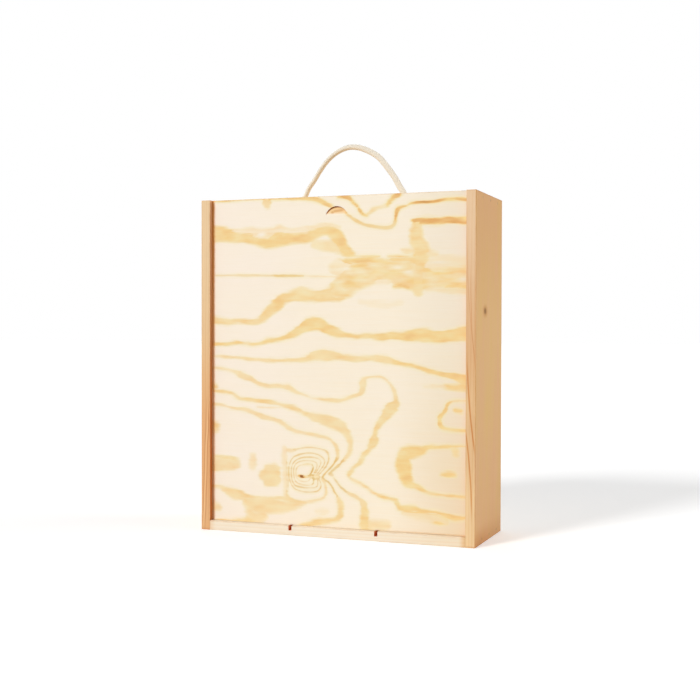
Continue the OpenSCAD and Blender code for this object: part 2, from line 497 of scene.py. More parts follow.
def fibres(spot, along, seed):
    # fine long streaks: along is 0, 1 or 2 for grain that runs in x, y or z
    coarse = [0.9, 0.9, 0.9]
    fine = [3.2, 3.2, 3.2]
    coarse[along] = 0.03
    fine[along] = 0.09
    shifted = spot.moved(seed * 13.7, seed * 5.1, seed * 9.3)
    return shifted.stretched(*coarse).noise(1.0, 3.0), shifted.stretched(*fine).noise(1.0, 2.0)


def edgeWear(spot, colour, rough, corners, strength):
    # rubbed in patches along the edges, where two faces of the piece are near at once
    near = []
    for value, first, last in zip(spot.parts(), *corners):
        near.append((value - first).least(last - value).below(0.2, 1.8))
    darkened = (near[0] * near[1]).most(near[1] * near[2]).most(near[0] * near[2])
    patches = spot.moved(5, 2, 9).stretched(0.04, 0.04, 0.04).noise(1.0, 3.0)
    darkened = darkened * (0.3 + patches.above(-0.2, 0.3) * 0.7)
    colour = colour.stained(darkened * strength, rgba(226, 192, 150))
    return colour, rough - darkened * 0.12


def pineMaterial(name, look):
    material, pen, spot = newMaterial(name)
    x, y, z = spot.parts()
    along = look["along"]
    coarse, fine = fibres(spot, along, look["seed"])
    slow = [0.02, 0.02, 0.02]
    slow[along] = 0.004
    drift = spot.moved(look["seed"] * 31.0, 7.0, 3.0).stretched(*slow).noise(1.0, 2.0)
    # growth rings round a pith that stands well outside the board and leans a little
    if along == 2:
        u, v, w = x, y, z
    else:
        u, v, w = z, y, x
    px, py = look["pith"]
    leanX, leanY = look["lean"]
    du = u - (w * leanX + px)
    dv = v - (w * leanY + py)
    radius = (du * du + dv * dv).root() + drift * look["sway"] + coarse * 0.22
    age = radius / look["ringGap"]
    ring = pen.math("FRACT", age)
    # latewood comes up slowly and stops short
    late = ring.above(0.35, 0.86) * ring.below(0.9, 0.99)
    yearSpot = pen.joined(pen.math("FLOOR", age), float(look["seed"]), 0.0)
    years = pen.node("TexWhiteNoise", {"noise_dimensions": "3D"}, {"Vector": yearSpot}, "Value")
    late = late * (0.35 + years * 0.9) * look["ringDepth"]
    ramp = late.node("ValToRGB", {"stops": [(0.0, look["early"]), (0.55, look["mid"]), (1.0, look["late"])]},
                     {"Fac": late}, "Color")
    tone = drift.share() * 0.9
    colour = ramp.stained(tone, look["warm"])
    colour = colour.stained(fine.share() * look["streak"], look["fibre"])
    colour = colour.stained(coarse.share() * 0.35, look["warm"])
    # end grain drinks in more and goes browner
    facing = spot.facing()[along].size().above(0.7, 0.95)
    pores = spot.noise(2.6, 3.0).share()
    colour = colour.stained(facing * (0.45 + pores * 0.4), look["endGrain"])
    rough = 0.58 + coarse * 0.05 - late * 0.08 + facing * 0.14
    height = fine * 0.35 + coarse * 0.5 + late * 0.8
    if "extra" in look:
        colour, height = look["extra"](spot, colour, height)
    colour, rough = edgeWear(spot, colour, rough, look["corners"], 0.4)
    finishMaterial(pen, colour, rough, height, 0.06, {"Specular IOR Level": 0.32})
    return material


grooveShade = dict(  # painted shade and warm bounce light in the groove and on the inside of the lip, in millimetres from the middle of the box
    wall=(143.1, 143.25),
    lip=(137.6, 137.8),
    front=(-52.3, -51.9),
    back=(-42.8, -42.6),
    tone=rgba(206, 114, 40),
    foot=rgba(196, 128, 72),
)


def paintGrooveShadeAndFoot(spot, colour):
    x, y, z = spot.parts()
    # the inside of the lip and the groove are painted dark orange-brown: painted shade and warm bounce light
    inside = x.size().below(*grooveShade["wall"]) * x.size().above(*grooveShade["lip"])
    inside = inside * y.below(*grooveShade["back"]) * y.above(*grooveShade["front"])
    colour = colour.painted(inside * 0.85, grooveShade["tone"])
    # browner along the foot
    return colour.stained(z.below(0.2, 2.4) * 0.35, grooveShade["foot"])


leftMarks = dict(
    head=rgba(240, 222, 186),
    low=rgba(246, 192, 138),
    flame=rgba(242, 200, 146),
    flameEdge=rgba(206, 138, 84),
    flameAcross=145.6,  # where the pale flame stands at the foot, to the left, and how it leans
    flameLean=0.034,
)


def leftBoardExtra(spot, colour, height):
    m = leftMarks
    colour = paintGrooveShadeAndFoot(spot, colour)
    x, y, z = spot.parts()
    # paler at the head; the front edge goes redder towards the foot, with a light flame there
    colour = colour.painted(z.above(110, 330) * 0.24, m["head"])
    low = z.below(90, 230) * (1 - y.above(-52, -30) * 0.75)
    colour = colour.stained(low * (0.36 + z.above(10, 50) * 0.14), m["low"])
    wander = spot.stretched(0.05, 0.05, 0.02).noise(1.0, 2.0)
    lean = x + m["flameAcross"] - z * m["flameLean"] + wander * 1.4
    colour = colour.painted(lean.size().below(0.3, 1.2) * z.between(6, 118, 16) * 0.55, m["flame"])
    edge = (lean + 1.5).size().below(0.15, 0.6).most((lean - 1.6).size().below(0.15, 0.7))
    colour = colour.stained(edge * z.between(6, 128, 14) * 0.5, m["flameEdge"])
    return colour, height


rightMarks = dict(
    head=rgba(232, 204, 178),
    middle=rgba(240, 224, 212),
    low=rgba(244, 214, 164),
    waist=rgba(246, 239, 235),
    lines=[  # brown lines on the front edge; each one bends round the height in turn
        dict(across=139.3, bend=0.00068, turn=200, width=1.15, low=92, high=176, strength=0.85),
        dict(across=144.35, bend=-0.00078, turn=24, width=1.1, low=34, high=112, strength=0.85),
        dict(across=139.0, bend=0.0006, turn=298, width=0.6, low=180, high=292, strength=0.35),
        dict(across=142.6, bend=0.0006, turn=262, width=0.5, low=168, high=262, strength=0.4),
    ],
    line=rgba(230, 180, 120),
    olive=rgba(228, 190, 118),
    rosy=rgba(229, 182, 136),
    outside=rgba(242, 224, 190),
    ends=rgba(224, 176, 122),
    aged=rgba(230, 204, 172),
    knotSpot=(17.0, 229.0),  # the pin knot: in front of the board's middle, and height
    knotHalf=(4.6, 3.0),
    knot=rgba(122, 80, 0),
    knotHalo=rgba(220, 180, 84),
)


def rightBoardExtra(spot, colour, height):
    m = rightMarks
    colour = paintGrooveShadeAndFoot(spot, colour)
    x, y, z = spot.parts()
    wander = spot.stretched(0.05, 0.05, 0.012).noise(1.0, 2.0)
    # pale pinkish head, olive foot, and brown lines that lean to the right as they go down
    front = y.below(-52.2, -51.2)
    colour = colour.painted(front * z.above(150, 300) * 0.34, m["head"])
    colour = colour.stained(front * z.between(120, 270, 60) * 0.7, m["middle"])
    colour = colour.painted(front * z.below(120, 190) * (1 - x.above(138, 144) * 0.5) * 0.5, m["low"])
    colour = colour.stained(front * z.between(62, 132, 20), m["waist"])
    for row in m["lines"]:
        rise = z - row["turn"]
        line = (x - row["across"] - rise * rise * row["bend"] + wander * 0.5).size()
        line = line.below(row["width"] * 0.25, row["width"]) * z.between(row["low"], row["high"], 16)
        colour = colour.stained(line * front * row["strength"], m["line"])
    # the outer face is evener and yellower, and browner towards its head
    outer = x.above(147.0, 147.8)
    veil = spot.moved(3, 1, 4).stretched(0.0, 0.06, 0.01).noise(1.0, 2.0) * 1.2 + 0.5
    veil = veil + z.below(60, 150) * 0.3
    colour = colour.painted(outer * 0.72, spot.tint(veil, m["olive"], m["rosy"]))
    colour = colour.stained(outer * 0.5, m["outside"])
    # darker towards the foot, and a painted shade line along the rounded edge at the head
    foot = z.below(2, 22) * (1 - y.above(-40, 20) * 0.5)
    colour = colour.stained(outer * foot.most(z.above(343.6, 344.6)) * 0.5, m["ends"])
    colour = colour.stained(outer * z.above(190, 345) * 0.36, m["aged"])
    ky = (y + m["knotSpot"][0]) / m["knotHalf"][0]
    kz = (z - m["knotSpot"][1]) / m["knotHalf"][1]
    away = (ky * ky + kz * kz).root() + spot.noise(0.7, 2.0) * 0.25
    knot = away.below(0.3, 1.5) * outer
    colour = colour.stained(away.below(0.8, 2.8) * outer * 0.62, m["knotHalo"])
    colour = colour.painted(knot * 0.84, m["knot"])
    return colour, height - knot * 0.3


endMarks = dict(
    slotAcross=46.5,
    slotHalf=1.8,
    slotShade=rgba(232, 122, 62),  # painted shade on the slots' walls and floors
    dull=rgba(249, 243, 232),
    tan=rgba(244, 214, 172),
)


def endBoardExtra(spot, colour, height):
    m = endMarks
    x, _, z = spot.parts()
    lookX, _, lookZ = spot.facing()
    # the slots' walls and floors are painted red-brown as painted shade
    slot = (x.size() - m["slotAcross"]).size()
    walls = (slot - m["slotHalf"]).size().below(0.05, 0.3) * lookX.size().above(0.5, 0.9)
    floor = slot.below(1.6, 1.75) * z.between(4.4, 5.6, 0.3).most(z.between(339.4, 340.6, 0.3))
    floor = floor * lookZ.size().above(0.5, 0.9)
    colour = colour.painted(walls.most(floor) * 0.9, m["slotShade"])
    # a little tan at the ends, and duller towards the right
    colour = colour.stained(x.above(30, 130) * 0.7, m["dull"])
    ends = x.size().above(131, 137)
    colour = colour.stained(ends * (0.4 + x.above(0, 10) * 0.4), m["tan"])
    return colour, height


pineLook = dict(
    early=rgba(236, 204, 160),
    mid=rgba(230, 190, 140),
    late=rgba(208, 150, 92),
    warm=rgba(250, 238, 222),
    fibre=rgba(236, 212, 184),
    endGrain=rgba(222, 182, 138),
    streak=0.3,
    ringGap=2.7,
    ringDepth=0.4,
    sway=2.2,
    along=2,
)
leftLook = dict(
    pineLook,
    seed=3,
    pith=(-322, -30),
    lean=(0.004, 0.012),
    corners=((-box["half"], box["front"], 0), (-box["inside"], box["back"], box["top"])),
    extra=leftBoardExtra,
)
rightLook = dict(
    pineLook,
    seed=8,
    pith=(262, 34),
    lean=(0.012, -0.01),
    corners=((box["inside"], box["front"], 0), (box["half"], box["back"], box["top"])),
    extra=rightBoardExtra,
)
endLook = dict(
    pineLook,
    early=rgba(247, 236, 218),
    mid=rgba(245, 229, 205),
    late=rgba(232, 206, 168),
    warm=rgba(253, 249, 243),
    fibre=rgba(246, 237, 225),
    endGrain=rgba(228, 196, 152),
    seed=5,
    pith=(86, -40),
    lean=(0.01, -0.006),
    ringGap=3.4,
    ringDepth=0.4,
    streak=0.25,
    along=0,
    corners=((-box["inside"], box["front"], 0), (box["inside"], box["rebate"], box["board"])),
    extra=endBoardExtra,
)
topLook = dict(
    endLook,
    seed=11,
    pith=(270, 30),
    lean=(-0.008, 0.01),
    corners=((-box["inside"], -42.9, box["top"] - box["board"]),
             (box["inside"], box["rebate"], box["top"])),
)


# the lid's figure, drawn from the photo

# each band of darker grain: depth of colour, softness of its edge, kind, then across, up and half width
# kind is 0 for plain grain, more for an olive ring line, and -1 for grain torn into blocks
lidFigure = dict(
    bands=[
        (0.72, 0.8, 0, [(-140, 344.2, 1.2), (-118, 344.4, 0.8), (-95, 345, 0.6), (-60, 344.5, 1.2),
            (-42, 344, 1.7), (-25, 342.8, 1.9), (-15, 340.3, 2), (-8, 336.5, 1.7), (-2, 333, 1.4)]),
        (0.46, 0.8, 0.3, [(12, 327, 1.6), (18, 322.8, 1.2), (24, 318.5, 1.7), (31, 315.6, 1.6),
            (40, 313.4, 1.5), (50, 311.8, 1.5), (58, 311.6, 1.8), (62.5, 313.5, 1.5), (64.5, 318, 1.2)]),
        (0.98, 0.7, 0, [(64.6, 319, 1.1), (65.3, 324, 1.3), (66.2, 329, 2.1), (70, 330.9, 1.4),
            (76, 332.3, 1.1), (81, 334.3, 1.2), (90, 335.4, 1.3), (104, 335.4, 1.1), (112, 336.6, 1.4),
            (122, 337.2, 1.8), (131, 337, 1.6), (140, 335.6, 1.7)]),
        (0.86, 0.8, 0, [(3, 343.6, 1), (8, 343.6, 1.5), (14, 342.8, 2.3), (17.5, 340, 1.8),
            (21, 336.8, 1.3), (25, 332.6, 1.3), (27.6, 328.6, 1.4), (31, 324.8, 1.2), (35, 323.8, 0.9)]),
        (0.42, 1.1, 0, [(35, 323.8, 0.8), (38, 327, 1.6), (41, 329.8, 2.2), (46, 331.8, 1.1),
            (52, 332.8, 1), (56, 334, 1.3)]),
        (0.9, 1, 0, [(56, 334, 1.2), (58.5, 337.6, 1.5), (62, 341, 2.6), (66, 343, 2.6),
            (69, 345.5, 2)]),
        (0.38, 1.6, 0, [(-75.4, 345, 4.2), (-74.6, 338, 3.4)]),
        (0.55, 1.5, 0, [(-142, 310.8, 7.8), (-128, 310.2, 7.4), (-119, 308.6, 6.4), (-110, 305.8, 4.8),
            (-100, 305.2, 4.8), (-91, 303.6, 4.8), (-82, 300, 4.6), (-73, 299.4, 5), (-65, 301.8, 7.2),
            (-58, 303.4, 7.2), (-50, 303.4, 5.4), (-40, 303.2, 5.4), (-30, 303.8, 5.2), (-22, 307, 4.8),
            (-14, 310, 4.4), (-6, 310.2, 4.8), (0, 306.6, 6.4), (5, 300, 6.8), (9, 293, 6.2),
            (14, 287.8, 4.6), (21, 285.2, 2.2)]),
        (0.26, 1.8, 0, [(-90, 307, 3.6), (-83, 307, 4.6), (-76, 307.4, 4.6), (-70, 308, 3.6)]),
        (0.8, 1.4, 0, [(-136, 306, 1.2), (-124, 307, 2), (-112, 305, 1.4)]),
        (0.8, 1.4, 0, [(-104, 305.4, 0.8), (-96, 305.6, 1.2), (-88, 304.6, 0.8)]),
        (0.85, 1.5, 0, [(-65, 306.6, 1), (-59, 306.8, 2.2), (-53, 306.4, 1)]),
        (0.75, 1.3, 0, [(-40, 305, 0.8), (-34, 305, 1.2), (-28, 305.2, 0.8)]),
        (0.16, 2, 0, [(-116, 312.4, 2.4), (-100, 311.6, 2.6), (-84, 311, 3), (-66, 311.4, 3.2),
            (-48, 310, 3), (-30, 311.6, 3.4)]),
        (0.26, 1.3, 0, [(-113, 313.5, 1.2), (-98, 313.9, 1.4), (-84, 313.4, 1.1), (-70, 312.6, 1.3),
            (-60, 315.2, 2), (-50, 312.5, 1.1), (-38, 311, 0.9), (-28, 312.8, 1.3), (-15, 315.6, 1.5),
            (-4, 315.4, 1.3), (5, 312, 1)]),
        (0.36, 2, 0, [(-23, 296, 2), (-14, 295.4, 4), (-5, 294.6, 5.4), (4, 293, 5.4)]),
        (0.36, 0.7, 0.45, [(-134, 266.4, 0.7), (-118, 266.6, 1), (-100, 266.4, 1.1), (-84, 265.9, 0.9),
            (-66, 265.6, 1)]),
        (0.55, 0.7, 0.45, [(-66, 265.6, 1), (-54, 265.4, 1.2), (-42, 265.1, 1.2), (-34, 264.9, 0.8)]),
        (0.25, 0.6, 0, [(-32, 264.9, 0.6), (-16, 264.2, 0.7), (0, 263.8, 0.6), (12, 263.2, 0.4)]),
        (0.55, 0.7, 0, [(13, 285.4, 1), (22, 284.2, 0.8), (36, 283.4, 0.5), (48, 283, 0.4)]),
        (0.62, 0.8, 0, [(57, 283, 0.6), (64, 282.8, 1.1), (72, 282.6, 0.9), (84, 283, 0.7)]),
        (0.56, 1.4, 0, [(12, 279, 2.4), (20, 279.4, 3.2), (30, 279, 3), (40, 278.6, 2.8),
            (48, 278.2, 2.4), (53, 278, 1.6)]),
        (0.5, 1.4, 0, [(61, 279.6, 1.4), (68, 279.4, 2.2), (77, 279.6, 2.4), (88, 279, 4)]),
        (0.34, 1.6, 0, [(72, 288.6, 1.2), (79, 288, 2.2), (84, 288, 2)]),
        (0.42, 2.4, -1, [(2, 248, 9), (10, 254, 12), (18, 262, 14), (27, 266, 14.5), (36, 267.5, 13.5),
            (46, 269, 11.2), (55, 269.5, 9.6), (64, 268, 10), (73, 265, 12.4), (82, 263.5, 14),
            (91, 262, 13), (100, 260, 10), (110, 259.4, 9), (120, 260, 9.6), (131, 260.4, 10.4),
            (142, 260, 10.4)]),
        (0.2, 2.6, -1, [(0, 272, 6), (7, 272, 8.4), (14, 271, 8)]),
        (0.14, 1.6, 0, [(37, 259.4, 1.6), (46, 259, 2.8), (56, 258.6, 2)]),
        (0.62, 1.4, 0, [(12, 261, 1), (22, 260, 1.6), (31, 258, 1.4)]),
        (0.5, 1.4, 0, [(28, 271, 1.4), (38, 270, 2), (47, 272, 1.4)]),
        (0.18, 2, 0, [(96, 273, 4), (106, 276, 6), (118, 277, 5.4), (130, 277, 4.6), (142, 277, 4.4)]),
        (0.55, 1, 0, [(71, 271, 0.9), (79, 271.2, 0.8)]),
        (0.42, 1.4, 0, [(92, 268.6, 1.2), (105, 268.6, 1.2), (118, 267.4, 2.6), (129, 267, 4),
            (140, 268, 4)]),
        (0.46, 1.8, 0, [(87, 314, 4.6), (86, 306, 6), (87.5, 297, 7), (91, 289, 8.6), (91, 281, 8),
            (89, 272, 6.6), (88, 262, 7), (88, 253, 6.2), (88, 247.5, 4.6)]),
        (0.28, 1.8, 0, [(97, 285, 3.6), (107, 284, 2)]),
        (0.6, 1, 0, [(63, 253, 0.9), (71, 253.2, 1.4), (79, 253, 1.2)]),
        (0.6, 1.2, 0, [(117, 253.6, 1.8), (128, 254, 2.2), (140, 253, 2.4)]),
        (0.26, 1.4, 0, [(95, 249.4, 1), (110, 249.6, 1.5), (125, 248.6, 2.2), (140, 246.5, 2.8)]),
        (0.12, 2.2, 0.1, [(28, 238.5, 1.6), (42, 236.5, 2.6), (56, 235.4, 2.8), (70, 237, 2)]),
        (0.6, 0.6, 0, [(74, 263.6, 0.4), (79, 263.5, 0.6), (84, 263.8, 0.4)]),
        (0.98, 1, 0, [(82, 318.2, 1), (88, 317.6, 2.8), (95, 317, 3.6), (102, 316.8, 3.6),
            (110, 316.4, 2.9), (118, 317.2, 3.1), (126, 316.8, 3.5), (133, 316.2, 3.7), (141, 315.8, 3.3)]),
        (0.46, 1.3, 0, [(-142, 219.6, 4.2), (-128, 219.2, 3.4), (-118, 218.6, 2.4), (-108, 219.5, 2.2),
            (-100, 218.8, 3), (-90, 218.6, 2.8), (-83, 219.8, 3), (-78, 223, 4.2), (-74, 228, 5.2),
            (-69, 232, 5.8), (-63, 236.6, 5.8), (-56, 241.6, 4.8), (-49, 243.6, 5), (-42, 245.6, 5.8),
            (-34, 246, 6.6), (-26, 245, 6.2), (-18, 244.5, 6), (-8, 245.6, 6.6), (4, 246.6, 8)]),
        (0.55, 0.9, 0, [(-142, 194.6, 1.8), (-128, 194.6, 1.6), (-118, 195.2, 1.5), (-108, 196.6, 1.7),
            (-100, 195.6, 1.5), (-90, 195.2, 1.6), (-82, 196.2, 1.6), (-75, 198.6, 2), (-66, 199.9, 1.9),
            (-58, 201.6, 2.3), (-50, 203.6, 3), (-42, 207.5, 3.7), (-36, 210.6, 4), (-30, 214.4, 6.2),
            (-23, 216, 7), (-16, 215.4, 6.6), (-10, 212, 5), (-3, 209, 4.6), (4, 206.6, 4.2),
            (12, 204.6, 2.2), (22, 203.6, 1.9), (32, 204, 2.3), (42, 204, 2.7), (52, 203.3, 3.8),
            (62, 204.4, 3.5), (72, 204, 3.9), (80, 204.3, 5), (88, 205.2, 6.1), (97, 205, 6.5),
            (106, 203.6, 5.8), (115, 203.8, 5.7), (124, 205.2, 6), (132, 206.6, 6.8), (141, 207, 7.2)]),
        (0.42, 0.9, 0, [(-142, 182.2, 1.1), (-128, 182, 1.1), (-118, 181.4, 0.9), (-106, 180.8, 1),
            (-96, 179.7, 1.5), (-86, 178.9, 1.3), (-74, 178.6, 1.6), (-62, 178.5, 1.7),
            (-50, 178.5, 1.8), (-42, 179, 1.9), (-34, 180, 2.3), (-27, 181.6, 3.3), (-20, 184, 5),
            (-12, 184.3, 5.6), (-4, 184, 5), (3, 183.5, 4), (10, 182.3, 2.9), (20, 181.6, 2.8),
            (30, 181.4, 2.7), (40, 181.6, 2.3), (48, 181, 3.4), (55, 180.4, 4), (62, 178.8, 2.8)]),
        (0.55, 0.9, 0, [(62, 178.8, 2.6), (70, 177, 1.8), (80, 175.4, 1.7), (90, 173, 1.8),
            (98, 170.8, 2), (106, 169, 2.2), (114, 166.8, 2.4), (122, 165.6, 2.8), (130, 163.4, 4.2),
            (141, 159.5, 5.6)]),
        (0.52, 1.6, 0, [(116, 155.6, 1.6), (122, 155, 2.6), (129, 154.8, 3.2), (141, 155, 4.4)]),
        (0.22, 1, 0, [(95, 154.8, 0.8), (105, 155, 1.1), (116, 155.4, 1.2)]),
        (0.38, 0.8, 0, [(-142, 169.6, 1.1), (-130, 169.4, 1.2), (-122, 168.6, 1), (-114, 167.2, 1.1),
            (-107, 164, 2.5), (-101, 161.7, 3.1), (-95, 160, 2.5), (-90, 157.6, 1.9), (-85, 154.6, 2.1),
            (-78, 152.8, 2.1), (-68, 152.2, 1.8), (-58, 151.8, 1.7), (-50, 151, 2.7), (-46, 148.8, 2.3),
            (-40, 146, 1.3), (-32, 143.2, 0.9), (-24, 140.8, 1), (-15, 139.6, 1.2), (-6, 138.8, 1.4),
            (3, 139, 1.6), (12, 140.6, 1.5), (20, 143.2, 1.2), (26, 145.4, 1.6), (29.4, 149, 2.8),
            (30.4, 155, 3.2), (31, 159, 2.8), (34.4, 162, 1.4), (40, 163.4, 0.9), (48, 163.8, 0.9),
            (54, 161.4, 1), (58, 158, 1.1), (61.5, 153.5, 1.4), (64, 149, 1.9), (65.2, 143, 2.2)]),
        (0.46, 1, 0.12, [(65.2, 143, 2.2), (65, 137.6, 4), (61, 133, 5.6), (57, 128.5, 5.2), (53, 123, 4),
            (49, 117.5, 3.1), (45, 112, 2.5), (43.5, 106, 2.9), (42.5, 100, 4.7), (40, 94.6, 3.4),
            (35, 88.6, 2.1), (31, 83.5, 2.3), (28.5, 79, 2.5), (25, 75, 1.8), (21, 71, 1.7),
            (17.5, 67, 2.3), (16, 63.5, 2.3), (19, 60.4, 1.8), (24, 58, 1.7), (30, 55.4, 1.4),
            (36, 51.8, 1.3), (42, 48, 1.5), (47, 45, 1.5)]),
        (0.56, 0.9, 0.1, [(47, 45, 1.5), (53, 43.6, 1.8), (60, 42.4, 1.5), (66, 41, 1.9), (67, 37.5, 2.5),
            (70, 34.6, 2.3), (77, 33.8, 2.5), (85, 34.2, 2.5), (92, 32.3, 1.6), (100, 31.7, 1.3),
            (108, 31.8, 1.3), (116, 29.5, 1.8), (124, 27.2, 2.3), (132, 27.4, 2.2), (141, 28.6, 2)]),
        (0.5, 1.6, 0, [(-142, 151, 5.4), (-134, 150, 2.6)]),
        (0.46, 0.9, 0, [(-136, 146, 1.4), (-130, 145.4, 1.6), (-122, 144.4, 1.4), (-115, 143.2, 1.6),
            (-110, 141, 1.7), (-105, 138.7, 1.4), (-96, 137.8, 1.6), (-86, 136.6, 1.7), (-76, 136, 1.7),
            (-66, 134.4, 1.9), (-58, 132.6, 2.1), (-50, 131.2, 2.3), (-43, 129.8, 2.1), (-36, 127, 1.7),
            (-30, 124.6, 2.4)]),
        (0.25, 0.6, 0, [(-86, 129.8, 0.5), (-72, 129.8, 0.7), (-60, 130.2, 0.8)]),
        (0.38, 1.4, 0.12, [(-30, 124.6, 2.2), (-22, 121.6, 3.8), (-12, 119, 5.2), (-2, 117, 6),
            (6, 113.5, 5.4), (12, 108, 4.1), (15.5, 102, 2.9), (17.5, 96, 2.3), (17, 90, 2.1),
            (15, 85, 1.8), (12, 80.5, 1.5), (8, 76.5, 1.1), (3, 72, 0.9), (-2, 68, 0.8),
            (-6, 64.6, 0.7)]),
        (0.36, 0.8, 0.14, [(-142, 132, 1.1), (-130, 131.4, 1.1), (-120, 129.4, 1.1), (-110, 127.8, 1.3),
            (-98, 126.4, 1.7), (-88, 123.4, 2.3), (-78, 120, 2.5), (-68, 118.2, 1.8), (-60, 115.4, 1.8),
            (-54, 112, 2.1), (-48, 108.6, 2.3), (-42, 106.2, 1.9), (-34, 105, 1.5), (-24, 103.8, 1.4),
            (-14, 102, 1.3), (-6, 100.2, 1.3), (-1.4, 96.6, 1.6), (2, 92, 1.8), (3.8, 86, 2.1),
            (3, 80, 1.4)]),
        (0.5, 0.6, 0.7, [(3, 80.6, 1), (0.4, 76, 0.7), (-3, 71.6, 0.7), (-6.4, 68, 0.7),
            (-9.7, 64.8, 0.8), (-12.3, 61.6, 0.9), (-12.4, 59.8, 0.8), (-9.8, 57.8, 0.7),
            (-6.6, 56, 0.7), (-4, 53.4, 0.9), (-1.6, 50, 1), (0.2, 46.2, 1), (3, 42.6, 1.1)]),
        (0.46, 1.2, 0.1, [(3, 42.6, 1.2), (5.6, 38, 2.4), (7.2, 33, 3), (7.2, 28, 3), (6.4, 22.6, 2.6),
            (2, 18.4, 1.8), (-6, 16.6, 2.4), (-14, 15.6, 3), (-22, 13.6, 3), (-30, 11, 2.2),
            (-40, 7.5, 2)]),
        (0.42, 0.7, 0.7, [(9.6, 79, 0.8), (6.6, 75.6, 0.7), (3.6, 72, 0.6), (0.8, 69.6, 0.6),
            (-2.4, 66.8, 0.7), (-4.6, 64.6, 1.2)]),
        (0.34, 1.1, 0.6, [(-5.4, 64.2, 0.8), (-3.6, 63.6, 1.4), (-1.8, 62.6, 0.8)]),
        (0.42, 0.6, 0.7, [(-0.6, 60.6, 0.5), (1.2, 58.4, 0.7), (3.6, 55.2, 0.9), (6.6, 52, 1),
            (9.8, 49.4, 1), (13.6, 46.8, 1.1)]),
        (0.38, 0.9, 0.2, [(13.6, 46.8, 1.1), (18, 44.4, 1.4), (23, 42.4, 1.6), (29, 39.4, 2.1),
            (32.4, 34.4, 3.4)]),
        (0.22, 1.8, 0, [(-55, 88, 2), (-54.8, 80, 2.3), (-54.6, 70, 2.2), (-54.4, 60, 2), (-54.2, 50, 2),
            (-54, 42, 2), (-53, 37, 2)]),
        (0.3, 1.3, 0.3, [(-52, 86.4, 1.6), (-47, 86.4, 1.8), (-43, 87.4, 1.2)]),
        (0.4, 0.6, 0.5, [(-51.6, 74, 0.4), (-51, 66, 0.5), (-50.8, 58, 0.5), (-51, 50, 0.5),
            (-51.6, 43, 0.6)]),
        (0.42, 0.6, 0.55, [(-45, 87.2, 0.6), (-38, 88.8, 0.7), (-30, 90.2, 0.7), (-22, 90.2, 0.7),
            (-14, 89, 0.7), (-8.8, 87.2, 0.8), (-6.6, 84, 0.8), (-6, 80, 0.7), (-6.9, 76, 0.6),
            (-8.8, 72, 0.6), (-11.6, 68.4, 0.6), (-14.6, 65.2, 0.6), (-17.4, 62.4, 0.5)]),
        (0.4, 0.9, 0, [(-13.4, 58, 0.6), (-10.4, 54, 0.9), (-8.8, 48.6, 1.1), (-9.2, 43.4, 1.2),
            (-13, 39.2, 1.2), (-20, 36.8, 1.2), (-28, 35.4, 1.2), (-36, 34.2, 1.4), (-44, 34.4, 2),
            (-50, 36.4, 2)]),
        (0.44, 0.5, 0.6, [(-17.4, 59, 0.4), (-15.4, 56, 0.5), (-14.4, 52.6, 0.5), (-15.2, 49.2, 0.5),
            (-18, 46.4, 0.6), (-23, 45, 0.6), (-30, 44.7, 0.6), (-37, 45.2, 0.6), (-42.4, 46.8, 0.5),
            (-45.8, 49.6, 0.5), (-48.2, 53.6, 0.5), (-49.4, 58.6, 0.5), (-49.8, 65, 0.5),
            (-49.4, 71, 0.5), (-47.8, 76, 0.5), (-44.4, 79.8, 0.5), (-39.6, 82.2, 0.6),
            (-33.6, 83.8, 0.6), (-27, 84.6, 0.6), (-21.4, 84.2, 0.6), (-16.2, 82.6, 0.6),
            (-12.4, 80.2, 0.6), (-10.5, 77, 0.6), (-11, 74, 0.5), (-13, 70.6, 0.5), (-15.6, 67.2, 0.5),
            (-18.6, 63.6, 0.5)]),
        (0.44, 0.5, 0.6, [(-18.8, 60, 0.4), (-17.9, 55.4, 0.5), (-18.5, 51.4, 0.5), (-21.4, 49.6, 0.5),
            (-27, 49.1, 0.5), (-33, 49, 0.6), (-39, 49.6, 0.6), (-43.2, 51, 0.6), (-45.6, 54, 0.5),
            (-46.9, 58.8, 0.5), (-47.3, 65, 0.5), (-46.7, 70.4, 0.5), (-44.7, 74.2, 0.6),
            (-41.2, 77.2, 0.6), (-36, 79.2, 0.6), (-30, 80.1, 0.6), (-24, 80.2, 0.5), (-18.6, 79.4, 0.5),
            (-15.2, 77.6, 0.5), (-14.6, 75, 0.5), (-16, 71.6, 0.5), (-18, 68, 0.5), (-20.6, 64.2, 0.5)]),
        (0.42, 0.5, 0.6, [(-44.4, 60, 0.4), (-44.8, 65, 0.5), (-44.2, 69.6, 0.5), (-42, 73, 0.5),
            (-38, 75.4, 0.4), (-32, 76.6, 0.4), (-26, 76.8, 0.4), (-21.6, 76, 0.5), (-19, 73.8, 0.6),
            (-18.9, 71, 0.6), (-20, 68, 0.5), (-22, 64.4, 0.5)]),
        (0.6, 0.5, 0.7, [(-23.4, 61.6, 0.5), (-22.7, 58, 0.6), (-22.8, 54.2, 0.6), (-24.6, 52.2, 0.5)]),
        (0.38, 0.5, 0.5, [(-24.6, 52.2, 0.4), (-29, 51.6, 0.4), (-34.4, 51.8, 0.4), (-39.6, 52.8, 0.5),
            (-42.8, 55.4, 0.5), (-44.2, 59.4, 0.5)]),
        (0.7, 0.5, 0.75, [(-24.4, 73, 0.5), (-23.1, 70.4, 0.6), (-23.8, 67.2, 0.7), (-25.2, 64.4, 0.6),
            (-26.8, 62, 0.5)]),
        (0.55, 0.6, 0.2, [(-33.4, 72.6, 0.5), (-29, 73.2, 0.6), (-24.6, 73, 0.5)]),
        (0.34, 0.5, 0.5, [(-26.8, 61.4, 0.4), (-26.4, 58.6, 0.5), (-28, 56.4, 0.5), (-31.4, 55.3, 0.5),
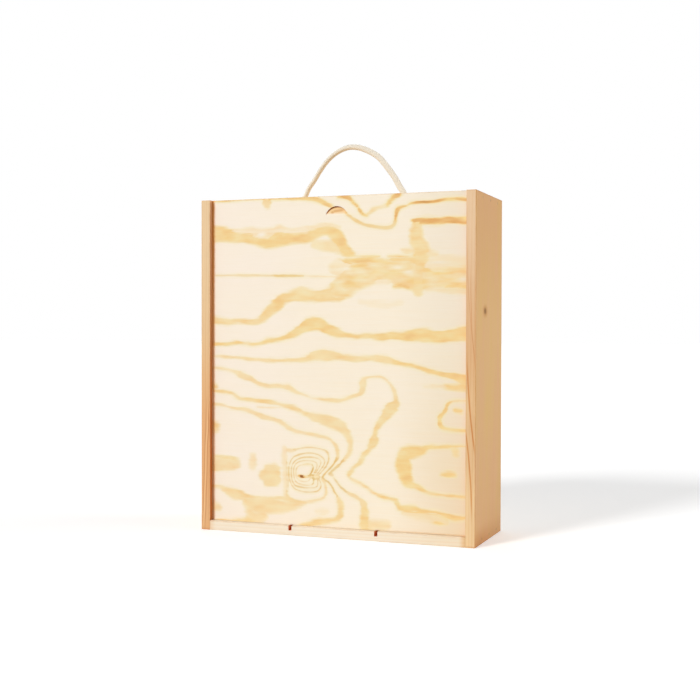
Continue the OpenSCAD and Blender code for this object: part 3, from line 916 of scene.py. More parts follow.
            (-36, 55.5, 0.5), (-39.8, 57, 0.5), (-41.8, 60.2, 0.5), (-42.2, 65, 0.5), (-41.2, 68.8, 0.5),
            (-38.4, 71.2, 0.5), (-34, 72.4, 0.5)]),
        (0.3, 1.6, 0, [(-30, 60.6, 0.8), (-26, 60.8, 1.6), (-22, 60.6, 2.6), (-18, 60.6, 2.4)]),
        (0.75, 1.5, 0, [(-40, 60.6, 0.4), (-36, 60.2, 1.5), (-32, 60.6, 0.7)]),
        (2.4, 0.9, 0, [(-36.1, 60, 0.45), (-35.3, 60, 0.45)]),
        (0.5, 1.3, 0, [(32.4, 34, 3.4), (33, 27, 4), (32.6, 20, 4.2), (33, 12, 4.8), (34, 4, 5)]),
        (0.32, 2.2, 0, [(38, 15, 4.6), (48, 15, 4.4), (57, 15.6, 3.4)]),
        (0.16, 2, 0, [(-19, 25.4, 1.6), (-13, 25.6, 2.4), (-8, 25.8, 1.6)]),
        (0.4, 0.8, 0, [(-13, 59, 0.6), (-10, 54, 0.8), (-8.6, 48, 0.9), (-9, 43, 1.1), (-13, 39, 1.2),
            (-20, 36.6, 1.2), (-28, 35.2, 1.2), (-36, 34, 1.4), (-44, 34.4, 2), (-50, 37, 2),
            (-52.6, 41, 1.3)]),
        (0.4, 1.2, 0, [(-142, 46, 1.8), (-130, 45.4, 1.4), (-123, 42.6, 2.6), (-116, 39.8, 4.6),
            (-108, 38, 5), (-100, 36.6, 3.2), (-88, 35.6, 1.5), (-78, 35.2, 1.5), (-68, 35.8, 1.5),
            (-58, 36.6, 1.9), (-50, 36.6, 2.4)]),
        (0.38, 2.2, 0, [(-98, 31, 4), (-90, 28.6, 7.6), (-80, 28.4, 8.4), (-70, 28.6, 8),
            (-60, 28.6, 6.4), (-50, 29.4, 5), (-41, 31.6, 3.6), (-32, 33.6, 1.8)]),
        (0.36, 2.4, 0, [(-95, 23, 4.6), (-91, 16, 5.8), (-84, 14, 5.8), (-79, 17, 4.6)]),
        (0.52, 1.2, 0, [(-132, 8.6, 1.8), (-112, 10.2, 1.9), (-96, 11.4, 1.9), (-86, 12.6, 1.6)]),
        (0.46, 1.8, 0, [(-142, 108, 7.4), (-134, 108, 4.8)]),
        (0.36, 1.8, 0, [(-142, 69.6, 7.6), (-128, 70, 7.8), (-118, 69.8, 7), (-110, 70.4, 4.8)]),
        (0.56, 1, 0, [(-134, 75.8, 0.8), (-124, 75.6, 1.5), (-115, 74.8, 1.2), (-110, 73, 0.7)]),
        (0.44, 1.2, 0, [(-142, 63.6, 1.4), (-130, 63.4, 1.6), (-120, 64, 1.1)]),
        (0.26, 1.8, 0, [(-90.6, 78, 3), (-90.6, 72, 4), (-91, 68.6, 3.6)]),
        (0.38, 1.4, 0, [(-75, 52, 3.4), (-64, 52.2, 3.6), (-64.2, 57, 4), (-77, 58.6, 4.4),
            (-80.6, 59, 3.4), (-76, 61.6, 5), (-65, 62, 4.6), (-65, 67, 4.2), (-74, 66.8, 4.4)]),
        (0.36, 1.8, 0, [(-142, 24, 5), (-131, 23.6, 3.4)]),
        (0.62, 0.7, 0, [(141, 141.5, 0.7), (130, 141.6, 0.8), (124, 141, 0.9), (119.6, 139.4, 1.3),
            (117.6, 136, 1.4), (116, 131.5, 1.6), (113.5, 128.5, 1.4), (111, 126, 2.1),
            (110.5, 120, 2.3), (112, 116, 2.1), (117, 113.9, 1.5), (124, 113, 1.7), (132, 112.6, 1.7),
            (141, 112.6, 1.7)]),
        (0.6, 1.3, 0, [(126.4, 132, 1.6), (132, 131.6, 1.9)]),
        (0.6, 1, 0, [(141, 97.6, 0.8), (130, 97.4, 1.1), (120, 96.4, 1.5), (110, 96, 1.7),
            (102, 95.8, 2), (96, 94.4, 2.8)]),
        (0.56, 1.5, 0, [(97, 93.6, 2.6), (90, 91, 5), (82, 90, 6.4), (75.6, 88.6, 6.4), (73, 83, 6.6),
            (72.8, 77, 7.8), (75, 70, 7.4), (77, 63, 6.4), (80, 59, 4.4), (84, 57.4, 2.8)]),
        (0.55, 0.9, 0, [(82, 57.6, 2.4), (88, 56, 2.4), (93, 53.2, 2.2), (98, 50.8, 1.5), (105, 49.4, 1),
            (114, 49, 1), (124, 49, 1.2), (134, 48.6, 1.5), (142, 48.4, 1.6)]),
        (0.42, 1.5, 0, [(126, 94, 3.4), (127, 89.6, 3.2)]),
        (0.6, 1.8, 0, [(113, 69.4, 1.4), (119, 69.2, 2.6), (126, 69, 1.4)]),
        (0.9, 1.2, 0, [(116.6, 68.8, 0.5), (120, 68.8, 0.9), (123, 68.8, 0.5)]),
        (0.66, 1.5, 0, [(107, 22, 1), (111.4, 21.4, 1.5)]),
        (0.22, 2.2, 0, [(74, 29, 2), (86, 28, 3), (98, 27, 4), (108, 25, 4.4), (116, 23.6, 3)]),
    ],
    clearings=[  # pale spots in the broad bands: across, up, half width, half height
        (13, 272, 4.5, 2),
        (66, 272, 7.5, 2.4),
        (79.5, 267.4, 5.5, 1.6),
        (109, 276.4, 9, 1.6),
        (133.5, 259.4, 4, 2.2),
        (-81, 308, 4.4, 2.4),
        (43, 274.5, 5, 1.2),
    ],
    reach=9.0,
    spread=1.4,  # softens every edge but the ring lines'
    ringKind=0.2,  # a kind from here on is a ring line
    curveSteps=4,
    softLeast=0.5,  # no edge is harder than this
    clearing=1.3,  # steepness of a clearing's edge
)


def lidFigureAt(across, up):
    # distance to the edge of the nearest band, less than 0 inside it, with its tone, softness and kind
    f = lidFigure
    spots = np.stack([across, up], 1)
    reach = f["reach"]
    edge = np.full(len(spots), reach)
    weights, tones, softs, kinds = (np.zeros(len(spots)) for _ in range(4))
    for tone, soft, kind, path in f["bands"]:
        if kind < f["ringKind"]:
            soft = soft * f["spread"]
        line = smoothLine(path, f["curveSteps"])
        margin = reach + line[:, 2].max()
        near = np.where((spots > line[:, :2].min(0) - margin).all(1)
                        & (spots < line[:, :2].max(0) + margin).all(1))[0]
        here = spots[near]
        best = np.full(len(near), 99.0)
        for a, b in zip(line[:-1], line[1:]):
            step = b[:2] - a[:2]
            t = np.clip((here - a[:2]) @ step / max(step @ step, 1e-9), 0, 1)
            gap = np.linalg.norm(here - a[:2] - t[:, None] * step, axis=1) - (a[2] + (b[2] - a[2]) * t)
            best = np.minimum(best, gap)
        # the darker of two bands that cross counts for more, and a band a little way off for nothing
        pull = np.where(best < reach, tone ** 3 / (np.maximum(best, -soft) + soft + 0.35) ** 8, 0)
        edge[near] = np.minimum(edge[near], best)
        weights[near] += pull
        tones[near] += pull * tone
        softs[near] += pull * soft
        kinds[near] += pull * kind
    for x, z, wide, high in f["clearings"]:
        inside = 1 - np.hypot((across - x) / wide, (up - z) / high)
        edge = np.maximum(edge, np.minimum(inside * min(wide, high) * f["clearing"], reach))
    weights = np.maximum(weights, 1e-12)
    softs = np.maximum(softs / weights, f["softLeast"])
    return np.stack([edge, tones / weights, softs], 1), kinds / weights


# plywood, cord and steel

veneer = dict(
    pale=rgba(249, 240, 222),
    warm=rgba(250, 234, 206),
    pink=rgba(250, 238, 224),
    honey=rgba(242, 202, 139),
    orange=rgba(228, 172, 102),
    brown=rgba(150, 92, 40),
    straw=rgba(243, 218, 150),
    fringe=rgba(242, 230, 184),
    ring=rgba(214, 178, 112),
    grey=rgba(247, 246, 243),
    tan=rgba(252, 240, 222),
    # painted shade and warm bounce light for the lid's margins beside the groove lips
    lipShade=rgba(232, 156, 76),
    core=rgba(226, 190, 142),
    glue=rgba(150, 104, 60),
    cut=rgba(232, 204, 164),
    # painted shade for the seam at the lid's foot
    footSeamShade=rgba(226, 186, 136),
    fine=rgba(240, 226, 204),
    coarse=rgba(248, 236, 214),
    backFrom=(-44.5, -44.3),  # from this depth the sheet has the figure of its back
    paleAcross=(-90, 20),
    greyAcross=(50, 138),
    tanUp=(40, 210),
    orangeFrom=0.62,
    brownFrom=1.1,
    # where that painted shade lies
    lipShadeLeft=(-137.0, -133.4),
    lipShadeRight=(138.4, 139.6),
    lipShadeUp=(120, 300),
    footUp=(10.6, 12.0),
    footAcross=(20, 100),
    notchFloor=rgba(240, 196, 126),
    notchWhorl=rgba(216, 158, 92),
    # painted shadow under the notch's arc and painted shade on its wall
    notchRimShadow=rgba(176, 98, 34),
    notchWallShade=rgba(160, 84, 26),
    glueLines=(1.2, 2.8),  # millimetres under the face, in a 4 mm sheet
    dividerGlueLines=(0.9, 2.1),
    figureDepth=5.6,
)


def veneerFigure(pen, spot, seed):
    # rotary cut figure for the sheets that the lid's drawn figure doesn't reach
    slow = spot.moved(seed * 57.0, seed * 11.0, seed * 23.0)
    slow = slow.stretched(0.0062, 0.0, 0.019).noise(1.0, 2.0, 0.45)
    wobble = spot.moved(seed * 7.0, 0.0, 2.0).stretched(0.03, 0.0, 0.3).noise(1.0, 2.0)
    level = slow * veneer["figureDepth"] + wobble * 0.06
    band = pen.math("FRACT", level)
    wide = band.above(0.5, 0.82) * band.below(0.88, 0.97)
    patch = spot.moved(3.0, seed * 5.0, seed * 17.0).stretched(0.008, 0.0, 0.02).noise(1.0, 1.0)
    return wide * (0.25 + patch.share() * 0.75)


def plies(spot, colour, rough, depth, upright, core):
    # cut edges show the cross grained core between two glue lines; depth is millimetres from the face
    first, second = core
    cut = upright.below(0.90, 0.97)
    middle = depth.between(first, second, 0.04)
    crossGrain = spot.stretched(2.4, 2.4, 2.4).noise(1.0, 3.0).share()
    glue = (depth - first).size().below(0.03, 0.12).most((depth - second).size().below(0.03, 0.12))
    deep = depth.above(first - 0.05, first + 0.05) * depth.below(second - 0.05, second + 0.05)
    colour = colour.stained(cut * (0.25 + crossGrain * 0.35), veneer["cut"])
    colour = colour.painted(middle.most(deep) * (0.6 + crossGrain * 0.35), veneer["core"])
    colour = colour.painted(glue * cut * 0.55, veneer["glue"])
    return colour, rough + cut * 0.14, crossGrain * cut


def lidMaterial():
    material, pen, spot = newMaterial("lid_veneer")
    x, y, z = spot.parts()
    coarse, fine = fibres(spot, 0, 2)
    figure = pen.node("Attribute", {"attribute_name": "grainFigure"}, {}, "Vector")
    edge, tone, soft = figure.parts()
    kind = pen.node("Attribute", {"attribute_name": "grainKind"}, {}, "Fac")
    # the fibres feather every band's edge along the grain
    ragged = spot.stretched(0.09, 1.0, 0.9).noise(1.0, 3.0)
    torn = spot.moved(9, 4, 1).stretched(0.05, 0.0, 0.2).noise(1.0, 2.0)
    shift = edge + (ragged * 0.4 + torn * 1.9) * soft.least(1.6)
    mask = (shift / soft * 0.5 + 0.5).below(0.0, 1.0)
    halo = shift.below(-0.5, 3.4)
    streak = spot.moved(2, 8, 5).stretched(0.02, 0.5, 0.55).noise(1.0, 3.0)
    cloud = spot.moved(6, 1, 9).stretched(0.012, 0.0, 0.03).noise(1.0, 2.0)
    mottle = spot.moved(4, 4, 2).stretched(0.045, 0.0, 0.11).noise(1.0, 1.5)
    blocks = spot.moved(1, 3, 8).stretched(0.04, 0.0, 0.15).noise(1.0, 1.5)
    broken = (-kind).above(0.0, 1.0)
    amount = mask * tone * (1 + streak * 0.15 + mottle * 0.65 + cloud * 0.2 + broken * blocks * 1.6)
    onBack = y.above(*veneer["backFrom"])
    amount = amount * (1 - onBack) + veneerFigure(pen, spot, 4) * 0.55 * onBack
    wash = cloud.share() + (x.above(*veneer["paleAcross"]) - 0.5) * 0.5
    colour = spot.tint(wash, veneer["pink"], veneer["pale"])
    colour = colour.painted(streak.share() * wash * 0.8, veneer["warm"])
    # greyer towards the right, and tanner low down there
    far = x.above(*veneer["greyAcross"])
    colour = colour.stained(far, veneer["grey"])
    colour = colour.stained(far * z.below(*veneer["tanUp"]) * 0.8, veneer["tan"])
    colour = colour.painted(halo * tone.least(0.7), veneer["fringe"])
    honey = spot.tint(mottle * 0.9 + 0.5, veneer["straw"], veneer["honey"])
    colour = colour.painted(amount / 0.6, honey)
    colour = colour.painted((amount - veneer["orangeFrom"]) / 0.4, veneer["orange"])
    colour = colour.painted((amount - veneer["brownFrom"]) / 0.4, veneer["brown"])
    colour = colour.painted(mask * tone * kind.above(0.0, 1.0) * 1.1, veneer["ring"])
    # painted shade and warm bounce light on the margins beside the groove lips, most of all the left one
    across = x + torn * 0.8
    darkened = across.below(*veneer["lipShadeLeft"]).most(across.above(*veneer["lipShadeRight"]) * 0.7)
    colour = colour.painted(darkened * (0.74 + z.above(*veneer["lipShadeUp"]) * 0.22), veneer["lipShade"])
    colour = colour.stained(fine.share() * 0.16, veneer["fine"])
    colour = colour.stained(coarse.share() * 0.2, veneer["coarse"])
    _, lookY, lookZ = pen.facing()
    s = lidSize
    colour, rough, crossHeight = plies(spot, colour, 0.56 - mask * 0.05 + coarse * 0.04,
                                       y - s["front"], lookY.size(), veneer["glueLines"])
    # thumb notch: the floor turns honey as it deepens and has a small whorl; the arc's wall gets painted
    # shade and the floor under it a painted shadow, darkest at the left
    n = notch
    deep = y.above(*n["floorFrom"]) * y.below(*n["floorTo"]) * z.above(*n["floorUp"])
    deep = deep * lookY.size().above(*n["floorTurn"])
    colour = colour.painted(deep * (0.8 + streak * 0.3), veneer["notchFloor"])
    wx = x - n["whorl"][0]
    wz = (z - n["whorl"][1]) * 1.2
    whorl = (wx * wx + wz * wz).root().below(*n["whorlReach"])
    trail = (z - x * 0.12 - n["trail"]).size().below(*n["trailReach"]) * x.between(-2, 9, 2)
    colour = colour.painted(deep * whorl.most(trail) * 0.75, veneer["notchWhorl"])
    # painted shadow on the floor under the arc and painted shade on its wall, fading out to the right
    dark = 1 - x.above(*n["lightAcross"]) * 0.8
    ax = x - n["middle"]
    az = z - (n["chord"] + n["high"] - notchRadius())
    rim = (ax * ax + az * az).root().above(*n["rim"]) * deep
    colour = colour.painted(rim * dark * 0.95, veneer["notchRimShadow"])
    wall = (-lookZ).above(*n["wallTurn"]) * z.above(*n["wallUp"]) * z.below(*n["wallTo"])
    wall = wall * (-y - 44).above(0.1, 0.4)
    colour = colour.painted(wall * dark * 0.92, veneer["notchWallShade"])
    # painted shade along the seam at the foot, at the right only
    foot = z.below(*veneer["footUp"]) * x.above(*veneer["footAcross"])
    colour = colour.stained(foot * 0.3, veneer["footSeamShade"])
    height = fine * 0.3 + coarse * 0.35 + mask * tone * 0.35 + crossHeight * 0.4
    corners = (s["left"], s["front"], s["wornFrom"]), (s["right"], s["back"], s["head"])
    colour, rough = edgeWear(spot, colour, rough, corners, 0.3)
    finishMaterial(pen, colour, rough, height, 0.05, {"Specular IOR Level": 0.34})
    return material


def plywoodMaterial(name, seed, face, core, flat, corners):
    # face is the coordinate of the outer face, flat the axis through the sheet
    material, pen, spot = newMaterial(name)
    xyz = spot.parts()
    through = xyz[flat]
    whole = spot
    if flat == 0:
        # two sheets that stand across, on both sides of the middle; their width runs front to back
        through = through.size()
        whole = spot.joined(xyz[0].size(), xyz[1], xyz[2])
        spot = spot.joined(xyz[1], xyz[0], xyz[2])
    coarse, fine = fibres(spot, 0, seed)
    amount = veneerFigure(pen, spot, seed)
    cloud = spot.moved(6, 1, seed).stretched(0.012, 0.0, 0.03).noise(1.0, 2.0)
    streak = spot.moved(2, seed, 5).stretched(0.02, 0.5, 0.55).noise(1.0, 3.0)
    amount = amount * (0.75 + streak * 0.4)
    colour = spot.tint(cloud.share(), veneer["pink"], veneer["warm"])
    colour = colour.painted(amount * 1.05, veneer["honey"])
    colour = colour.painted((amount - 0.5) / 0.5, veneer["orange"])
    colour = colour.stained(fine.share() * 0.3, rgba(236, 220, 196))
    colour = colour.stained(coarse.share() * 0.3, rgba(246, 232, 208))
    upright = pen.facing()[flat].size()
    depth = (through - face).size()
    colour, rough, crossHeight = plies(spot, colour, 0.6 + coarse * 0.05, depth, upright, core)
    height = fine * 0.3 + coarse * 0.4 + amount * 0.3 + crossHeight * 0.4
    colour, rough = edgeWear(whole, colour, rough, corners, 0.4)
    finishMaterial(pen, colour, rough, height, 0.05, {"Specular IOR Level": 0.32})
    return material


def cordMaterial():
    material, pen, spot = newMaterial("cord_cotton")
    uv = pen.node("UVMap", {"uv_map": "alongCord"}, {}, "UV").parts()
    turns = cordHandle["strands"] / 2
    one = (2 * math.pi * turns) * (uv[0] + uv[1])
    two = (2 * math.pi * turns) * (uv[0] - uv[1])
    over = pen.math("COSINE", one)
    crossing = (over - pen.math("COSINE", two)).size() * 0.5
    thread = (one * 3.0 + two * 0.35).wave() * over.above(-0.2, 0.2)
    thread = thread + (two * 3.0 - one * 0.35).wave() * over.below(-0.2, 0.2)
    fuzz = spot.noise(3.0, 3.0)
    soil = spot.stretched(0.05, 0.05, 0.05).noise(1.0, 3.0).share()
    colour = spot.tint(crossing, rgba(240, 229, 209), rgba(246, 240, 229))
    colour = colour.stained(soil * 0.25, rgba(244, 224, 192))
    # painted shade and a warm painted reflection of the wood on the underside, most of all on the left leg
    lookX, _, lookZ = pen.facing()
    x = spot.parts()[0]
    shadedUnderside = (-lookZ + lookX * 0.35).above(-0.1, 0.9) * (1 - x.above(-20, 50) * 0.4)
    colour = colour.stained(shadedUnderside * 0.6, rgba(250, 214, 158))
    rough = 0.86 + fuzz * 0.05
    height = crossing * 0.6 + thread * 0.22 + fuzz * 0.3
    soft = {"Specular IOR Level": 0.18, "Sheen Weight": 0.25, "Sheen Roughness": 0.5}
    finishMaterial(pen, colour, rough, height, 0.08, soft)
    return material


def steelMaterial():
    material, pen, spot = newMaterial("steel_nails")
    scratch = spot.stretched(1.0, 6.0, 1.0).noise(1.2, 3.0).share()
    dull = spot.moved(4, 2, 7).noise(0.9, 3.0).share()
    colour = spot.tint(dull, rgba(190, 150, 104), rgba(208, 172, 124))
    colour = colour.stained(scratch * 0.3, rgba(126, 112, 96))
    rough = 0.34 + dull * 0.2
    finishMaterial(pen, colour, rough, scratch, 0.02, {"Metallic": 0.9})
    return material


print("finishes ready")


# boards and sheets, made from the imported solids

boardEdges = dict(
    ease=0.4,  # rounding of the long edges
    steps=2,
    shortest=24,  # edges shorter than this stay sharp
    bend=0.5,  # and so do those that turn less, in radians
    flat=0.5,  # faces that turn less than this, in degrees, become one
    weld=1e-6,
)


def boardFrom(node, name, slot, material):
    e = boardEdges
    shell = bmesh.new()
    shell.from_mesh(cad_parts[node].data)
    bmesh.ops.remove_doubles(shell, verts=shell.verts, dist=e["weld"])
    bmesh.ops.dissolve_limit(shell, angle_limit=math.radians(e["flat"]), verts=shell.verts,
                             edges=shell.edges)
    outer = [edge for edge in shell.edges
             if len(edge.link_faces) == 2 and edge.calc_face_angle(0) > e["bend"]
             and edge.calc_length() > e["shortest"] * mm and onOutside(edge)]
    bmesh.ops.bevel(shell, geom=outer, offset=e["ease"] * mm, offset_type="OFFSET",
                    segments=e["steps"], profile=0.5, affect="EDGES", clamp_overlap=True)
    mesh = bpy.data.meshes.new(name)
    shell.to_mesh(mesh)
    gaps = openEdges(shell)
    shell.free()
    mesh.materials.clear()
    mesh.materials.append(material)
    piece = bpy.data.objects.new(name, mesh)
    scene.collection.objects.link(piece)
    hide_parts(node)
    if gaps:
        print(name, "has", gaps, "open edges")
    return piece


def onOutside(edge):
    # only corners that stick out are eased
    a, b = edge.link_faces
    return (b.calc_center_median() - edge.verts[0].co).dot(a.normal) < 1e-6


woodPieces = []
pineLeft = pineMaterial("pine_left", leftLook)
pineRight = pineMaterial("pine_right", rightLook)
pineEnds = pineMaterial("pine_bottom", endLook)
pineTop = pineMaterial("pine_top", topLook)
backPly = plywoodMaterial("back_plywood", 6, box["back"], veneer["glueLines"], 1,
                          ((-142.8, box["rebate"], 0), (142.8, box["back"], box["top"])))
dividerPly = plywoodMaterial("divider_plywood", 9, 48.0, veneer["dividerGlueLines"], 0,
                             ((45, -42.4, 5), (48, 48.2, 339.5)))

for row in [
    ("side_board_left", "side_left", "pine_side_board", pineLeft),
    ("side_board_right", "side_right", "pine_side_board", pineRight),
    ("bottom_board", "bottom_pine", "pine_end_board", pineEnds),
    ("top_board", "top_pine", "pine_end_board", pineTop),
    ("back_panel", "back_sheet", "back_plywood", backPly),
    ("divider_left", "divider_sheet_left", "divider_plywood", dividerPly),
    ("divider_right", "divider_sheet_right", "divider_plywood", dividerPly),
]:
    woodPieces.append(boardFrom(*row))
print("boards ready")


# the sliding lid

lidSize = dict(
    left=-142.5,
    right=142.5,
    front=-47.2,
    back=-43.2,
    foot=10.04,
    head=345.0,
    wornFrom=-40,  # so low that the foot, which is out of reach, isn't worn
    ease=0.35,
    easeSteps=(0.0, 0.3, 1.0),
    columnGap=2.0,
    fineGap=1.0,
    fineFrom=-60.0,  # closer columns where the rings of the knot are
    fineTo=12.0,
    rowGap=1.0,
    backGap=14.0,
    figureTo=-44.6,  # the drawn figure ends at this depth
    weld=2e-6,
)
notch = dict(
    middle=2.0,
    chord=325.5,
    wide=24.0,
    high=9.0,
    deep=1.8,
    arcSteps=64,
    chordGap=1.0,
    beside=3,  # the patch of the sheet that is cut up for it: at its sides, below and above
    below=4,
    above=3,
    clear=0.45,  # no other points this near its outline
    touching=1e-3,
    overChord=1e-4,
    whorl=(-2.6, 328.4),
    whorlReach=(0.6, 2.8),
    trail=329.6,
    trailReach=(0.4, 2.0),
    floorFrom=(-47.15, -46.6),  # depths between which the floor takes its colour
    floorTo=(-45.2, -45.0),
    floorUp=(320, 322),
    floorTurn=(0.9, 0.97),
    rim=(10.7, 11.9),  # radii
    wallTurn=(0.1, 0.5),
    wallUp=(324, 325),
    wallTo=(336, 338),
    lightAcross=(0, 12),
)


def notchRadius():
    half = notch["wide"] / 2
    return (half ** 2 + notch["high"] ** 2) / (2 * notch["high"])


def steps(low, high, gap):
    count = max(1, int(round((high - low) / gap)))
    return [low + (high - low) * k / count for k in range(count + 1)]


def makeLid():
    s, n = lidSize, notch
    e = s["ease"]
    inset = [e * share for share in s["easeSteps"]]
    xs = [s["left"] + d for d in inset[:-1]]
    xs += steps(s["left"] + e, s["fineFrom"], s["columnGap"])[:-1]
    xs += steps(s["fineFrom"], s["fineTo"], s["fineGap"])
    xs += steps(s["fineTo"], s["right"] - e, s["columnGap"])[1:]
    xs += [s["right"] - d for d in reversed(inset[:-1])]
    zs = [s["foot"] + d for d in inset[:-1]] + steps(s["foot"] + e, s["head"] - e, s["rowGap"])
    zs += [s["head"] - d for d in reversed(inset[:-1])]
    xs, zs = np.array(xs), np.array(zs)
    acrossCount, upCount = len(xs), len(zs)

    def sunk(x, z):
        rim = min(x - s["left"], s["right"] - x, z - s["foot"], s["head"] - z)
        t = min(max(rim / e, 0), 1)
        return e * (1 - math.sqrt(max(0.0, 1 - (1 - t) ** 2)))

    points = [(x, s["front"] + sunk(x, z), z) for z in zs for x in xs]
    at = lambda i, k: k * acrossCount + i
    # the patch round the notch is filled on its own
    i0 = int(np.searchsorted(xs, n["middle"] - n["wide"] / 2 - n["beside"]))
    i1 = int(np.searchsorted(xs, n["middle"] + n["wide"] / 2 + n["beside"]))
    k0 = int(np.searchsorted(zs, n["chord"] - n["below"]))
    k1 = int(np.searchsorted(zs, n["chord"] + n["high"] + n["above"]))
    faces = []
    for k in range(upCount - 1):
        for i in range(acrossCount - 1):
            if i0 <= i < i1 and k0 <= k < k1:
                continue
            faces.append((at(i, k), at(i + 1, k), at(i + 1, k + 1), at(i, k + 1)))
    faces += notchPatch(points, xs, zs, (i0, i1, k0, k1), at)
    # rim down to the back, then the back itself
    ring = [at(i, 0) for i in range(acrossCount)]
    ring += [at(acrossCount - 1, k) for k in range(1, upCount)]
    ring += [at(i, upCount - 1) for i in range(acrossCount - 2, -1, -1)]
    ring += [at(0, k) for k in range(upCount - 2, 0, -1)]
    loops = [ring]
    for rise, pulled in zip(reversed(inset), inset):
        loop = []
        for index in ring:
            x, _, z = points[index]
            x = min(max(x, s["left"] + pulled), s["right"] - pulled)
            z = min(max(z, s["foot"] + pulled), s["head"] - pulled)
            loop.append(len(points))
            points.append((x, s["back"] - rise, z))
        loops.append(loop)
    for one, two in zip(loops[:-1], loops[1:]):
        for j in range(len(ring)):
            m = (j + 1) % len(ring)
            faces.append((one[j], two[j], two[m], one[m]))
    faces += fillBack(points, loops[-1])
    piece = meshPiece("lid_sheet", points, faces)
    gaps = fixNormals(piece, s["weld"])
    spots = np.array([v.co for v in piece.data.vertices]) / mm
    figure, kind = lidFigureAt(spots[:, 0], spots[:, 2])
    figure[spots[:, 1] > s["figureTo"], 0] = lidFigure["reach"]
    layer = piece.data.attributes.new("grainFigure", "FLOAT_VECTOR", "POINT")
    layer.data.foreach_set("vector", figure.astype(np.float32).ravel())
    layer = piece.data.attributes.new("grainKind", "FLOAT", "POINT")
    layer.data.foreach_set("value", kind.astype(np.float32))
    print("lid has", len(piece.data.polygons), "faces and", gaps, "open edges")
    return piece


def notchPatch(points, xs, zs, block, at):
    i0, i1, k0, k1 = block
    n = notch
    radius = notchRadius()
    centre = n["chord"] + n["high"] - radius
    half = math.asin(n["wide"] / 2 / radius)
    if centre > n["chord"]:
        half = math.pi - half
    front = lidSize["front"]
    border = [at(i, k0) for i in range(i0, i1)] + [at(i1, k) for k in range(k0, k1)]
    border += [at(i, k1) for i in range(i1, i0, -1)] + [at(i0, k) for k in range(k1, k0, -1)]
    flat = [Vector((points[j][0], points[j][2])) for j in border]
    owner = list(border)
    edges = [(j, (j + 1) % len(border)) for j in range(len(border))]
    arc = []
    for j in range(n["arcSteps"] + 1):
        turn = -half + 2 * half * j / n["arcSteps"]
        arc.append(Vector((n["middle"] + radius * math.sin(turn), centre + radius * math.cos(turn))))
    chord = [Vector((x, n["chord"])) for x in steps(arc[-1].x, arc[0].x, n["chordGap"])[1:-1]]
    outline = arc + chord
    first = len(flat)
    flat += outline
    owner += [None] * len(outline)
    edges += [(first + j, first + (j + 1) % len(outline)) for j in range(len(outline))]

    def fromOutline(p):
        return min((p - q).length for q in outline)

    for k in range(k0 + 1, k1):
        for i in range(i0 + 1, i1):
            p = Vector((xs[i], zs[k]))
            if fromOutline(p) > n["clear"]:
                flat.append(p)
                owner.append(at(i, k))
    made, _, triangles, sources, _, _ = delaunay_2d_cdt(flat, edges, [], 0, 1e-5)

    def inNotch(p):
        return p.y > n["chord"] and (p - Vector((n["middle"], centre))).length < radius

    def depthAt(z):
        return n["deep"] * max(0.0, z - n["chord"]) / n["high"]

    upper, lower = {}, {}
    for j, p in enumerate(made):
        source = sources[j][0] if sources[j] else None
        owned = owner[source] if source is not None else None
        onRim = fromOutline(p) < n["touching"]
        if owned is None or onRim:
            upper[j] = len(points)
            points.append((p.x, front, p.y))
        else:
            upper[j] = owned
        if onRim and p.y > n["chord"] + n["overChord"]:
            lower[j] = len(points)
            points.append((p.x, front + depthAt(p.y), p.y))
        else:
            lower[j] = upper[j]
    faces = []
    for triangle in triangles:
        middle = sum((made[j] for j in triangle), Vector((0, 0))) / len(triangle)
        if inNotch(middle):
            for j in triangle:
                if lower[j] == upper[j] and made[j].y > n["chord"] + n["overChord"]:
                    x, _, z = points[lower[j]]
                    points[lower[j]] = (x, front + depthAt(z), z)
            faces.append([lower[j] for j in triangle])
        else:
            faces.append([upper[j] for j in triangle])
    rim = [j for j, p in enumerate(made) if lower[j] != upper[j]]
    rim.sort(key=lambda j: math.atan2(made[j].x - n["middle"], made[j].y - centre))
    ends = [j for j, p in enumerate(made) if lower[j] == upper[j] and fromOutline(p) < n["touching"]
            and min((p - arc[0]).length, (p - arc[-1]).length) < n["touching"]]
    ends.sort(key=lambda j: made[j].x)
    chain = [ends[0]] + rim + [ends[1]]
    for a, b in zip(chain[:-1], chain[1:]):
        wall = [upper[a], upper[b], lower[b], lower[a]]
        faces.append([v for q, v in enumerate(wall) if v not in wall[:q]])
    return faces


def fillBack(points, loop):
    s = lidSize
    flat = [Vector((points[j][0], points[j][2])) for j in loop]
    owner = list(loop)
    edges = [(j, (j + 1) % len(loop)) for j in range(len(loop))]
    for z in steps(s["foot"], s["head"], s["backGap"])[1:-1]:
        for x in steps(s["left"], s["right"], s["backGap"])[1:-1]:
            flat.append(Vector((x, z)))
            owner.append(None)
    made, _, triangles, sources, _, _ = delaunay_2d_cdt(flat, edges, [], 1, 1e-6)
    names = []
    for j, p in enumerate(made):
        owned = owner[sources[j][0]] if sources[j] else None
        if owned is None:
            owned = len(points)
            points.append((p.x, s["back"], p.y))
        names.append(owned)
    return [[names[j] for j in triangle] for triangle in triangles]


lidPiece = makeLid()
lidPiece.data.materials.append(lidMaterial())
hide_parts("lid")
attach(lidPiece, "lid")
print("lid ready")


# pins and tacks

nails = dict(
    pin=(1.4, 2.6, 28.0),  # shank width, head width, length
    tack=(1.2, 2.4, 14.0),
    headThick=0.6,
    crown=0.25,  # the head's rounded top, as a share of its thickness
    crownWidth=0.84,
    point=1.6,  # length of the point, in shank widths
    pointWidth=0.12,
    sides=20,
    sunk=0.05,  # the heads sit this far under the wood
    pinDepths=(-26.9, 2.8, 32.5),
    pinHeights=(5.0, 340.0),
    tackAcross=140.5,
    tackHeights=(28.0, 100.25, 172.5, 244.75, 317.0),
    bayAcross=(-115.5, -70.5, -22.5, 22.5, 70.5, 115.5),
)


